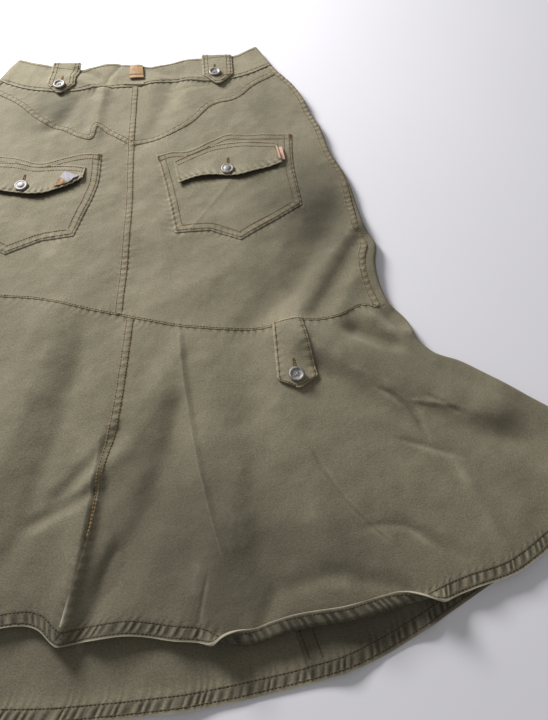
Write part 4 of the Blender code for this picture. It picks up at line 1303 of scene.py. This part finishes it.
# %% Buttons
BUTTONS = {
    "waist_button_right": (99, 25), "waist_button_left": (-91, 36),
    "flounce_button_right": (167, 436), "flounce_button_left": (-168, 387),
    "pocket_button_right": POCKETS["right"]["button"], "pocket_button_left": POCKETS["left"]["button"],
}
BUTTON_RADIUS, BUTTON_HEIGHT = 7.2, 2.6
SEWN = [(0, 0.15), (0.72, 0.1), (0.93, 0.2), (1.0, 0.52), (0.97, 0.78), (0.88, 0.98), (0.78, 1.0),
        (0.69, 0.86), (0.62, 0.62), (0.5, 0.5), (0.3, 0.5), (0, 0.52)]
DOMED = [(0, 0.1), (0.75, 0.1), (0.95, 0.25), (1.0, 0.5), (0.96, 0.75), (0.86, 0.92), (0.76, 0.92),
         (0.68, 0.76), (0.6, 0.74), (0.5, 0.98), (0.3, 1.18), (0, 1.25)]


def turned(name, place, base, profile, radius, height, steps=40):
    """A turned solid from a profile of (share of the radius, share of the height)."""
    x, y, z = to_world(np.array([*place, base], dtype=float))
    bm = bmesh.new()
    ring = [bm.verts.new((x + r * radius * MM, y, z + h * height * MM)) for r, h in profile]
    edges = [bm.edges.new(pair) for pair in zip(ring, ring[1:])]
    bmesh.ops.spin(bm, geom=ring + edges, cent=(x, y, z), axis=(0, 0, 1), angle=2 * pi,
                   steps=steps, use_merge=True)
    bmesh.ops.remove_doubles(bm, verts=bm.verts, dist=0.00001)
    bmesh.ops.recalc_face_normals(bm, faces=bm.faces)
    mesh = bpy.data.meshes.new(name)
    bm.to_mesh(mesh)
    bm.free()
    mesh.shade_smooth()
    mesh.set_sharp_from_angle(angle=radians(60))
    obj = bpy.data.objects.new(name + "_made", mesh)
    bpy.context.scene.collection.objects.link(obj)
    return obj


HOLE_SHADES, THREADS = [], []
for name, place in BUTTONS.items():
    angles = np.linspace(0, 2 * pi, 24)
    ring = np.array(place) + BUTTON_RADIUS * 0.9 * np.stack([np.cos(angles), np.sin(angles)], 1)
    base = float(np.percentile(drop(ring), 80)) + 0.1
    profile = DOMED if "pocket" in name else SEWN
    PIECES[name] = turned(name, place, base, profile, BUTTON_RADIUS, BUTTON_HEIGHT)
    if "pocket" not in name:
        top = base + 0.5 * BUTTON_HEIGHT
        # Each hole is a thin near-black disc on the button: painted shade where the hole's depth would be.
        for dx, dy in ((-1, -1), (1, -1), (1, 1), (-1, 1)):
            spot = (place[0] + dx * 1.45, place[1] + dy * 1.45)
            HOLE_SHADES.append(turned(name + "_hole", spot, top + 0.03, [(0, 0), (1, 0), (1, 1), (0, 1)],
                                0.8, 0.05, 12))
        for a, b in (((-1, -1), (1, 1)), ((1, -1), (-1, 1))):
            ends = np.array([[place[0] + 1.45 * p, place[1] + 1.45 * q, top + 0.3] for p, q in (a, b)])
            THREADS.append(ends[0] + (ends[1] - ends[0]) * np.linspace(0, 1, 7)[:, None])
print(len(BUTTONS), "buttons and", len(HOLE_SHADES), "holes")

# %% [markdown]
# ## Leather loop, ribbon, label and bar
# These are small, but they are the only spots of another colour.


# %% Trim
def strip(name, corners, rows, columns, rise, wall):
    """A small four-cornered strip on top of the cloth; rise(u, v) adds to its height."""
    a, b, c, d = (np.array(corner, dtype=float) for corner in corners)
    plan = patch(np.linspace(a, b, columns), np.linspace(d, c, columns), np.linspace(a, d, rows),
                 np.linspace(b, c, rows))
    u, v = np.meshgrid(np.linspace(0, 1, columns), np.linspace(0, 1, rows))
    ground = drop(plan)
    for _ in range(3):
        ground[1:-1, 1:-1] = (ground[:-2, 1:-1] + ground[2:, 1:-1] + ground[1:-1, :-2]
                              + ground[1:-1, 2:]) / 4
    height = ground + wall / 2 + 0.08 + rise(u, v)
    return cloth(name, with_height(plan, height), above=wall / 2, below=wall / 2,
                 wear_and_shading=0.3 * np.exp(-(rim_distance(plan) / 0.9) ** 2))


PIECES["centre_loop"] = strip(
    "centre_loop", ((-7.6, 2), (7.6, 1.5), (10.4, 26), (-7.2, 26)), 40, 24,
    lambda u, v: 1.1 * np.sin(pi * v) ** 0.6 + 0.5 * (1 - (2 * u - 1) ** 2)
    + 4.5 * np.clip(v - 0.82, 0, 1) - 0.9 * np.exp(-((v - 0.80) / 0.05) ** 2), 1.5)
PIECES["loop_bar"] = strip("loop_bar", ((-14, 31.5), (11, 33), (11, 37), (-14, 35.2)), 8, 40,
                           lambda u, v: 0.12 * np.sin(u * 60) + 0 * v, 0.8)
PIECES["flap_tag_right"] = strip("flap_tag_right", ((166.5, 156), (173, 157), (175.5, 176), (168.5, 176.5)),
                                 22, 12, lambda u, v: 1.5 + 0.5 * np.sin(pi * v) + 0.25 * u, 0.7)
PIECES["flap_label_left"] = strip("flap_label_left", ((-52, 186), (-68.5, 179), (-76.5, 202), (-62, 197)),
                                  28, 18, lambda u, v: 0.4 + 0.6 * np.sin(pi * v) + 0.2 * u, 0.7)

# %% [markdown]
# ## Thread
# The stitches are some thousands of small beads along lines. One Geometry Nodes tree makes them:
# it turns a line into a curve, cuts it to the stitch length, lays a bead along each step and makes
# the beads real. The lines are worked out first, each at its distance from a seam or an edge.


# %% Lines of thread
def side_line(line, inset, ends, sign=1):
    """A line beside an edge, cut short at its ends."""
    moved = line + normals_of(line) * inset * sign
    total = length_of(moved)
    return resample(moved, np.linspace(ends[0] / total, 1 - ends[1] / total, max(8, int(total))))


def sewn(kind, plan):
    """Keep a row of stitches on top of the cloth along a line of the plan."""
    total = length_of(plan)
    plan = resample(plan, np.linspace(0, 1, max(6, int(total / 0.8))))
    plan = plan + 0.12 * np.stack([noise(np.arange(len(plan)) / 9, plan[:, 0] * 0, 61),
                                   noise(np.arange(len(plan)) / 9, plan[:, 0] * 0, 62)], 1)
    STITCH_LINES.append((kind, with_height(plan, drop(plan) + 0.1)))


for line in RIBBON_ROWS:
    sewn("body", line[2:-3])
foot = WHOLE_FOOT - [0, 1.7]
sewn("body", foot)
top_line = smooth(WAIST_TOP, 300)[6:-6]
seam_line = resample(np.vstack([WAIST["left"][::-1], WAIST["right"][1:]]), np.linspace(0, 1, 301))[6:-6]
for share in (3.2 / 38, 1 - 3.2 / 38):
    sewn("body", top_line * (1 - share) + seam_line * share)
for side, lines in POCKETS.items():
    sign = SIGNS[side]
    inner, outer = smooth(lines["inner"], 90), smooth(lines["outer"], 90)
    bottom = straight(lines["bottom"], 40)
    top = smooth(lines["top"], 90)
    for inset in (2.6, 8.8):
        sewn("pockets", side_line(inner, inset, (1, inset + 1), sign))
        sewn("pockets", side_line(bottom, inset, (inset, inset), sign))
        sewn("pockets", side_line(outer, inset, (1, inset + 1), -sign))
    for inset in (2.6, 8.8):
        sewn("pockets", side_line(top, inset, (3, 3), -sign))
    flap = smooth(lines["flap_edge"], 90)
    flap_top = smooth(lines["flap_top"], 90)
    for inset in (2.0, 8.0):
        sewn("pockets", side_line(flap_top, inset, (2, 2), -sign))
for name, outlines in TAB_OUTLINES.items():
    for line in outlines:
        sewn("tabs", line)
print(len(STITCH_LINES), "rows of stitches")


# %% Buttonholes and bar tacks
def keyhole(place, way, length=15, back=6.5):
    """The bound edge of a buttonhole, from under its button outwards along a way."""
    way = np.array(way, dtype=float) / np.hypot(*way)
    across = np.array([way[1], -way[0]])
    angles = np.linspace(0, 2 * pi, 60)
    centre = np.array(place) + way * (back + length / 2 - 4)
    return centre + (way * np.sin(angles)[:, None] * length / 2 + across * np.cos(angles)[:, None] * 0.95)


def bound(plan):
    """Dense thread along a short line."""
    total = length_of(plan)
    plan = resample(plan, np.linspace(0, 1, max(6, int(total / 0.5))))
    STITCH_LINES.append(("bound", with_height(plan, drop(plan) + 0.12)))


for name, (top, tip, *_) in TABS.items():
    button = BUTTONS[name.replace("tab", "button")]
    bound(keyhole(button, np.array(top) - tip))
for side, lines in POCKETS.items():
    bound(keyhole(lines["button"], (0.05, -1), 13, 9))
    for corner, along in ((lines["inner"][0], lines["inner"][1]), (lines["outer"][0], lines["outer"][1])):
        start = np.array(corner, dtype=float)
        way = (np.array(along) - start) / np.hypot(*(np.array(along) - start))
        inwards = np.sign(111 * SIGNS[side] - start[0])
        for shift in (1.6, 3.0):
            bound(np.linspace(start + [inwards * shift, 1.5], start + [inwards * shift, 1.5] + way * 7, 12))
for shift in (0, 0.8, 4.4):
    bound(np.linspace((-13, 32.2 + shift), (11, 33.8 + shift * 0.9), 30))


# %% Geometry Nodes for beads of thread
def bead_tree():
    """Beads laid end to end along every curve of a line mesh."""
    tree = bpy.data.node_groups.new("beads along lines", "GeometryNodeTree")
    face = tree.interface
    face.new_socket("Lines", in_out="INPUT", socket_type="NodeSocketGeometry")
    for label, value in (("Pitch", 0.0032), ("Length", 0.0026), ("Width", 0.0007), ("Height", 0.0005)):
        face.new_socket(label, in_out="INPUT", socket_type="NodeSocketFloat").default_value = value
    face.new_socket("Thread", in_out="INPUT", socket_type="NodeSocketMaterial")
    face.new_socket("Seed", in_out="INPUT", socket_type="NodeSocketInt").default_value = 7
    face.new_socket("Beads", in_out="OUTPUT", socket_type="NodeSocketGeometry")
    nodes, links = tree.nodes, tree.links

    def node(kind, **settings):
        made = nodes.new(kind)
        for key, value in settings.items():
            setattr(made, key, value)
        return made

    given, result = node("NodeGroupInput"), node("NodeGroupOutput")
    curve = node("GeometryNodeMeshToCurve")
    cut = node("GeometryNodeResampleCurve", mode="LENGTH")
    tangent = node("GeometryNodeInputTangent")
    turn = node("FunctionNodeAlignEulerToVector", axis="X")
    keep = node("GeometryNodeCaptureAttribute")
    bead = node("GeometryNodeMeshUVSphere")
    bead.inputs["Segments"].default_value, bead.inputs["Rings"].default_value = 6, 4
    size, half_size = node("ShaderNodeCombineXYZ"), node("ShaderNodeVectorMath", operation="SCALE")
    half_size.inputs["Scale"].default_value = 0.5
    bead.inputs["Radius"].default_value = 1.0
    jitter = node("FunctionNodeRandomValue", data_type="FLOAT")
    jitter.inputs[2].default_value, jitter.inputs[3].default_value = 0.8, 1.12
    vary = node("ShaderNodeVectorMath", operation="SCALE")
    place = node("GeometryNodeInstanceOnPoints")
    real, paint = node("GeometryNodeRealizeInstances"), node("GeometryNodeSetMaterial")
    smooth_shade = node("GeometryNodeSetShadeSmooth")
    links.new(given.outputs["Lines"], curve.inputs[0])
    links.new(curve.outputs[0], cut.inputs["Curve"])
    links.new(given.outputs["Pitch"], cut.inputs["Length"])
    links.new(tangent.outputs[0], turn.inputs["Vector"])
    keep.capture_items.new("VECTOR", "way")
    links.new(cut.outputs[0], keep.inputs[0])
    links.new(turn.outputs[0], keep.inputs[1])
    for axis, label in zip("XYZ", ("Length", "Width", "Height")):
        links.new(given.outputs[label], size.inputs[axis])
    links.new(size.outputs[0], half_size.inputs[0])
    links.new(given.outputs["Seed"], jitter.inputs["Seed"])
    links.new(half_size.outputs[0], vary.inputs[0])
    links.new(jitter.outputs[1], vary.inputs["Scale"])
    links.new(keep.outputs[0], place.inputs["Points"])
    links.new(bead.outputs[0], place.inputs["Instance"])
    links.new(keep.outputs[1], place.inputs["Rotation"])
    links.new(vary.outputs[0], place.inputs["Scale"])
    links.new(place.outputs[0], real.inputs[0])
    links.new(real.outputs[0], smooth_shade.inputs[0])
    links.new(smooth_shade.outputs[0], paint.inputs["Geometry"])
    links.new(given.outputs["Thread"], paint.inputs["Material"])
    links.new(paint.outputs[0], result.inputs[0])
    return tree


BEADS = bead_tree()


def lines_mesh(name, lines):
    """A mesh of edges only, one chain for each line."""
    points = np.vstack(lines)
    points[:, 2] = np.maximum(points[:, 2], 0.8)
    points = to_world(points)
    chains, first = [], 0
    for line in lines:
        chains += [(first + i, first + i + 1) for i in range(len(line) - 1)]
        first += len(line)
    mesh = bpy.data.meshes.new(name)
    mesh.from_pydata([tuple(p) for p in points], chains, [])
    obj = bpy.data.objects.new(name, mesh)
    bpy.context.scene.collection.objects.link(obj)
    return obj


def baked(obj, tree, **inputs):
    """Give an object a Geometry Nodes modifier, set its inputs and keep the result as a mesh."""
    modifier = obj.modifiers.new(tree.name, "NODES")
    modifier.node_group = tree
    sockets = {item.name: item.identifier for item in tree.interface.items_tree
               if item.item_type == "SOCKET" and item.in_out == "INPUT"}
    for label, value in inputs.items():
        modifier[sockets[label]] = value
    depsgraph = bpy.context.evaluated_depsgraph_get()
    mesh = bpy.data.meshes.new_from_object(obj.evaluated_get(depsgraph))
    obj.modifiers.clear()
    obj.data = mesh
    return obj


# %% [markdown]
# ## Shader maths
# A node tree is easier to read as an expression. This class wraps a socket, so that sums and
# products of values write the Math nodes themselves. Colours are mixed, because a Math node
# would turn them grey.


# %% Values in a node tree
class Value:
    """A socket that can be used in an expression."""

    def __init__(self, tree, socket):
        self.tree, self.socket = tree, socket

    def node(self, kind, settings=None, inputs=None, out=0):
        """Add a node: its settings first, then its sockets' values or links."""
        made = self.tree.nodes.new(kind)
        for key, value in (settings or {}).items():
            setattr(made, key, value)
        for key, value in (inputs or {}).items():
            if isinstance(value, Value):
                self.tree.links.new(value.socket, made.inputs[key])
            else:
                made.inputs[key].default_value = value
        return Value(self.tree, made.outputs[out])

    def math(self, operation, a, b=0.0):
        """One Math node."""
        return self.node("ShaderNodeMath", {"operation": operation}, {0: a, 1: b})

    def attribute(self, name):
        """A value that the mesh carries at each of its points."""
        return self.node("ShaderNodeAttribute", {"attribute_name": name}, out=2)

    def __add__(self, other):
        return self.math("ADD", self, other)

    def __radd__(self, other):
        return self.math("ADD", other, self)

    def __sub__(self, other):
        return self.math("SUBTRACT", self, other)

    def __rsub__(self, other):
        return self.math("SUBTRACT", other, self)

    def __mul__(self, other):
        return self.math("MULTIPLY", self, other)

    def __rmul__(self, other):
        return self.math("MULTIPLY", other, self)

    def between(self, low, high):
        """A smooth step from 0 at low to 1 at high."""
        return self.node("ShaderNodeMapRange", {"interpolation_type": "SMOOTHSTEP"},
                         {0: self, 1: low, 2: high, 3: 0.0, 4: 1.0})

    def blend(self, a, b):
        """Colour a where this value is 0 and colour b where it is 1."""
        return self.node("ShaderNodeMix", {"data_type": "RGBA"}, {0: self, 6: a, 7: b}, 2)

    def lighten(self, colour):
        """A colour times this value."""
        return self.node("ShaderNodeVectorMath", {"operation": "SCALE"}, {0: colour[:3], "Scale": self})

    def noise(self, where, scale, detail=2.0, roughness=0.5):
        """Noise from 0 to 1."""
        return self.node("ShaderNodeTexNoise", {}, {"Vector": where, "Scale": scale, "Detail": detail,
                                                    "Roughness": roughness})


def material(name, roughness=0.9, metallic=0.0, **constants):
    """A new material: its tree's starting value and its shader."""
    made = bpy.data.materials.new(name)
    made.use_nodes = True
    shader = made.node_tree.nodes["Principled BSDF"]
    shader.inputs["Roughness"].default_value = roughness
    shader.inputs["Metallic"].default_value = metallic
    for key, value in constants.items():
        shader.inputs[key.replace("_", " ")].default_value = value
    start = Value(made.node_tree, None)
    return made, start, shader


def connect(start, value, shader, socket):
    """Link a value to one of the shader's sockets."""
    start.tree.links.new(value.socket, shader.inputs[socket])


def bump(start, shader, height, distance, strength=1.0):
    """Turn a height from 0 to 1 into a bump of that many metres."""
    normal = start.node("ShaderNodeBump", {}, {"Strength": strength, "Distance": distance,
                                               "Height": height})
    connect(start, normal, shader, "Normal")


# %% [markdown]
# ## The twill
# The khaki is a washed cotton twill: olive brown, mottled in soft clouds, paler where it has
# rubbed. Close up it has fine slanting ribs and a grain of slubs. Along the hems the cloth
# puckers between its two rows of stitches, at the place and strength that the mesh gives. Light
# and shade are painted into the colour too: the mesh's patches of painted shading and its painted
# highlights and shade, and on the hems a lighter crest and darker trough to each pucker and a
# darker hem.

# %% Twill
HEM_PITCH = 6.6              # millimetres from one pucker of a hem to the next
RIB_PITCH = 0.0011           # metres from one rib of the twill to the next
TWILL = (0.262, 0.232, 0.158, 1)
PALE = (0.50, 0.46, 0.34, 1)
DARK = (0.085, 0.068, 0.042, 1)


def hem_puckers(start):
    """How far inside a hem a place is, and its puckers from -1 to 1: uneven waves along it."""
    along, hem = start.attribute("hem_along"), start.attribute("hem_ripple")
    drift = start.noise(start.node("ShaderNodeCombineXYZ", {}, {0: along, 1: 4.0}), 0.045, 1, 0.5)
    uneven = start.noise(start.node("ShaderNodeCombineXYZ", {}, {0: along, 1: 9.0}), 0.12, 1, 0.5)
    wave = start.math("SINE", along * (2 * pi / HEM_PITCH) + drift * 16)
    return hem, hem * wave * uneven.between(0.22, 0.62)


def twill(name, shade=1.0):
    """Washed twill of a given shade."""
    made, start, shader = material(name, 0.92, Specular_IOR_Level=0.25, Sheen_Weight=0.08,
                                   Sheen_Roughness=0.5)
    uv = start.node("ShaderNodeUVMap", {"uv_map": "cloth"})
    where = start.node("ShaderNodeTexCoord", out=3)
    wear_and_shading, shading_paint = start.attribute("wear_and_shading"), start.attribute("painted_shading")
    hem, ripple = hem_puckers(start)
    clouds = start.noise(where, 9, 3, 0.55)
    mottle = start.noise(where, 55, 4, 0.6)
    slub = start.noise(start.node("ShaderNodeMapping", {}, {0: uv, 3: (0.75, 1.15, 1)}), 640, 2, 0.6)
    grain = start.noise(uv, 1000, 1, 0.5)
    tone = -0.09 + 0.26 * clouds + 0.42 * mottle + 0.75 * slub + 0.75 * grain
    # Painted light and shade: the patches of painted shading, and on the hems a lighter crest and a darker
    # trough to each pucker and a darker hem.
    tone = tone * (1 + shading_paint) * shade * (1 + ripple * 0.42 - hem * 0.18)
    base = tone.lighten(TWILL)
    # The mesh's marks: paler where rubbed or a highlight is painted, darker where dye has stayed or shade is
    # painted.
    pale = (wear_and_shading * 1.0 + 0.35 * (mottle - 0.5)).between(0.02, 0.75)
    dark = (wear_and_shading * -1.0 + 0.20 * (clouds - 0.5)).between(0.03, 0.55)
    colour = dark.blend(pale.blend(base, PALE), DARK)
    connect(start, colour, shader, "Base Color")
    parts = start.node("ShaderNodeSeparateXYZ", {}, {0: uv})
    across = Value(start.tree, parts.socket.node.outputs[0])
    down = Value(start.tree, parts.socket.node.outputs[1])
    rib = start.math("SINE", (across + down) * (2 * pi / RIB_PITCH))
    relief_height = 0.08 * rib + 0.22 * slub + 0.25 * grain + 2.2 * mottle + 1.5 * ripple
    bump(start, shader, relief_height, 0.00045, 0.9)
    return made


# The inside is darker partly as its own colour and partly as painted shade from the layer above.
MATERIALS = {"upper": twill("twill_upper", 1.0), "flounce": twill("twill_flounce", 0.93),
             "inside": twill("twill_inside_shaded", 0.62), "trim": twill("twill_trim", 1.08)}


# %% Metal, leather, ribbon, label and thread
def coated(name, colour, other, scale, roughness=0.6, metallic=0.0, depth=0.0002, **constants):
    """A simple finish: two shades mixed by noise, with a bump from the same noise."""
    made, start, shader = material(name, roughness, metallic, **constants)
    where = start.node("ShaderNodeTexCoord", out=3)
    grain = start.noise(where, scale, 4, 0.6)
    connect(start, grain.between(0.3, 0.7).blend(colour, other), shader, "Base Color")
    connect(start, 0.8 * roughness + 0.4 * roughness * grain, shader, "Roughness")
    bump(start, shader, grain, depth, 0.6)
    return made


MATERIALS["metal"] = coated("metal", (0.20, 0.19, 0.18, 1), (0.42, 0.40, 0.385, 1), 420, 0.62, 0.6, 0.0001)
MATERIALS["leather"] = coated("leather", (0.32, 0.185, 0.08, 1), (0.46, 0.29, 0.14, 1), 260, 0.5, 0, 0.0003)
MATERIALS["ribbon"] = coated("ribbon", (0.62, 0.36, 0.27, 1), (0.70, 0.48, 0.38, 1), 700, 0.7, 0, 0.0002)


def woven_label():
    """A plain woven label: a pale half and a tan half with dark weft."""
    made, start, shader = material("label", 0.75)
    uv = start.node("ShaderNodeUVMap", {"uv_map": "cloth"})
    parts = start.node("ShaderNodeSeparateXYZ", {}, {0: uv})
    across, down = (Value(start.tree, parts.socket.node.outputs[k]) for k in (0, 1))
    weft = start.noise(start.node("ShaderNodeMapping", {}, {0: uv, 3: (0.2, 1, 1)}), 1100, 2, 0.6)
    tan = weft.between(0.42, 0.58).blend((0.12, 0.055, 0.02, 1), (0.46, 0.25, 0.09, 1))
    pale = weft.between(0.3, 0.7).blend((0.28, 0.26, 0.28, 1), (0.40, 0.38, 0.41, 1))
    half_way = (down + across * 0.35).between(0.0115, 0.0130)
    connect(start, half_way.blend(pale, tan), shader, "Base Color")
    bump(start, shader, weft, 0.0002, 0.6)
    return made


MATERIALS["label"] = woven_label()
MATERIALS["thread"] = coated("thread", (0.165, 0.098, 0.034, 1), (0.26, 0.165, 0.066, 1), 300, 0.7, 0, 0.0001)
MATERIALS["dark thread"] = coated("dark_thread", (0.040, 0.027, 0.014, 1), (0.075, 0.052, 0.026, 1), 300, 0.7,
                                  0, 0.0001)
MATERIALS["pale thread"] = coated("pale_thread", (0.42, 0.39, 0.33, 1), (0.55, 0.52, 0.45, 1), 300,
                                  0.7, 0, 0.0001)
# Near black: painted shade for the buttons' holes.
MATERIALS["hole_shade"] = coated("hole_shade", (0.02, 0.018, 0.015, 1), (0.03, 0.027, 0.022, 1), 300, 0.8, 0, 0.0001)

# %% Thread as beads
GROUPS = {
    # name: kinds of line, thread, pitch, length, width, height
    "thread_body": (("body",), "thread", 2.9, 2.95, 1.2, 0.7),
    "thread_pockets": (("pockets", "tabs"), "thread", 2.8, 2.9, 1.25, 0.7),
    "thread_hem": (("hem",), "dark thread", 2.9, 3.0, 1.2, 0.6),
    "thread_hem_inside": (("hem inside",), "dark thread", 2.9, 3.0, 1.2, 0.6),
    "thread_front_hem": (("front hem",), "dark thread", 2.9, 3.0, 1.2, 0.6),
    "thread_bound": (("bound",), "thread", 0.75, 0.8, 1.6, 0.8),
}
THREAD_PIECES = []
for name, (kinds, thread, pitch, length, width, height) in GROUPS.items():
    lines = [line for kind, line in STITCH_LINES if kind in kinds]
    obj = baked(lines_mesh(name, lines), BEADS, Pitch=pitch * MM, Length=length * MM,
                Width=width * MM, Height=height * MM, Thread=MATERIALS[thread], Seed=len(name))
    THREAD_PIECES.append(obj)
    print(f"{name}: {sum(len(p.vertices) - 2 for p in obj.data.polygons)} triangles")
button_thread = baked(lines_mesh("thread_buttons", THREADS), BEADS, Pitch=0.7 * MM, Length=1.2 * MM,
                      Width=0.9 * MM, Height=0.7 * MM, Thread=MATERIALS["pale thread"], Seed=3)
THREAD_PIECES.append(button_thread)

# %% [markdown]
# ## Dressing the pieces
# Each piece gets its material, rides on the skirt's one body and stands for its solid in the frame,
# which is hidden.

# %% Materials, slots and the frame
SLOTS = {"metal": ("button", "hook"), "leather": ("centre_loop",), "ribbon": ("tag",), "label": ("label",)}


def kind_of(name):
    """A piece's slot, from its name."""
    return next((slot for slot, words in SLOTS.items() if any(w in name for w in words)), "twill")


def finish_of(name):
    """A piece's material, from its name."""
    kind = kind_of(name)
    if kind != "twill":
        return MATERIALS[kind]
    if name == "loop_bar" or "tab" in name or "flap" in name or name == "waistband":
        return MATERIALS["trim"]
    if "flounce" in name:
        return MATERIALS["flounce"]
    return MATERIALS["upper"]


for name, obj in {**PIECES, **RIBBONS}.items():
    obj.data.materials.append(finish_of(name))
    if kind_of(name) == "twill":
        obj.data.materials.append(MATERIALS["inside"])
    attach(obj, "root")
    kind_of(name)
    if name in PIECES:
        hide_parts(name)
for obj in HOLE_SHADES:
    obj.data.materials.append(MATERIALS["hole_shade"])
    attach(obj, "root")
for obj in THREAD_PIECES:
    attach(obj, "root")
total = sum(len(p.vertices) - 2 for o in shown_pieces() if o.type == "MESH" for p in o.data.polygons)
print(f"{total} triangles in all")

# %% [markdown]
# ## Sheets
# The cut of each piece of cloth, apart from the narrow pieces sewn on others, is printed. A piece's
# cut is measured along its own grid: its longest row and column, and the area of the cloth between
# its two faces.

WITH = {
    # sheet: narrow pieces sewn on it
    "yoke_left": ("seam_yoke_left",), "yoke_right": ("seam_yoke_right",),
    "back_left": ("seam_side_left", "seam_centre"), "back_right": ("seam_side_right",),
    "flounce_back_right": ("seam_centre_flounce",),
    "waistband": ("loop_bar",), "pocket_flap_right": ("flap_tag_right",),
    "pocket_flap_left": ("flap_label_left",),
}
NARROW = {name for names in WITH.values() for name in names}
for name, obj in PIECES.items():
    if kind_of(name) == "twill" and name not in NARROW:
        width, length, area = obj["cut"]
        min(max(area, 0.31 * width * length), width * length)
        print(f"{name}: cut {width * 100:.1f} by {length * 100:.1f} cm, {area * 1e4:.0f} square cm")

# %% [markdown]
# ## Floor and light
# The floor is pale and slightly blue, under a soft lamp on the waist side. The lamp is near, so
# it fades towards the hem, and it is wide, so shadows are soft. The world fills them in.


# %% Floor
def make_floor():
    """A plain pale floor."""
    mesh = bpy.data.meshes.new("floor")
    mesh.from_pydata([(x, y, 0) for x, y in ((-4, -4), (4, -4), (4, 4), (-4, 4))], [], [(0, 1, 2, 3)])
    obj = bpy.data.objects.new("floor", mesh)
    bpy.context.scene.collection.objects.link(obj)
    made, start, shader = material("floor", 0.55, Specular_IOR_Level=0.3)
    where = start.node("ShaderNodeTexCoord", out=3)
    tone = 0.97 + 0.06 * start.noise(where, 3, 3, 0.6)
    connect(start, tone.lighten((0.89, 0.875, 0.92, 1)), shader, "Base Color")
    mesh.materials.append(made)
    obj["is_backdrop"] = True
    return obj


make_floor()


# %% Lamps and world
def lamp(name, at, aim, size, power, colour=(1, 1, 1)):
    """A square area lamp that points at a place, all in metres."""
    data = bpy.data.lights.new(name, "AREA")
    data.size, data.energy, data.color = size, power, colour
    obj = bpy.data.objects.new(name, data)
    obj.location = at
    obj.rotation_euler = (Vector(aim) - Vector(at)).to_track_quat("-Z", "Y").to_euler()
    bpy.context.scene.collection.objects.link(obj)


lamp("key", (-0.72, 1.02, 0.66), (0.05, 0.1, 0), 0.45, 31.5)
world = bpy.data.worlds.new("world")
world.use_nodes = True
world.node_tree.nodes["Background"].inputs["Color"].default_value = (1.0, 1.0, 1.0, 1)
world.node_tree.nodes["Background"].inputs["Strength"].default_value = 0.27
bpy.context.scene.world = world
bpy.context.scene.view_settings.view_transform = "Standard"
bpy.context.scene.view_settings.exposure = 0.0
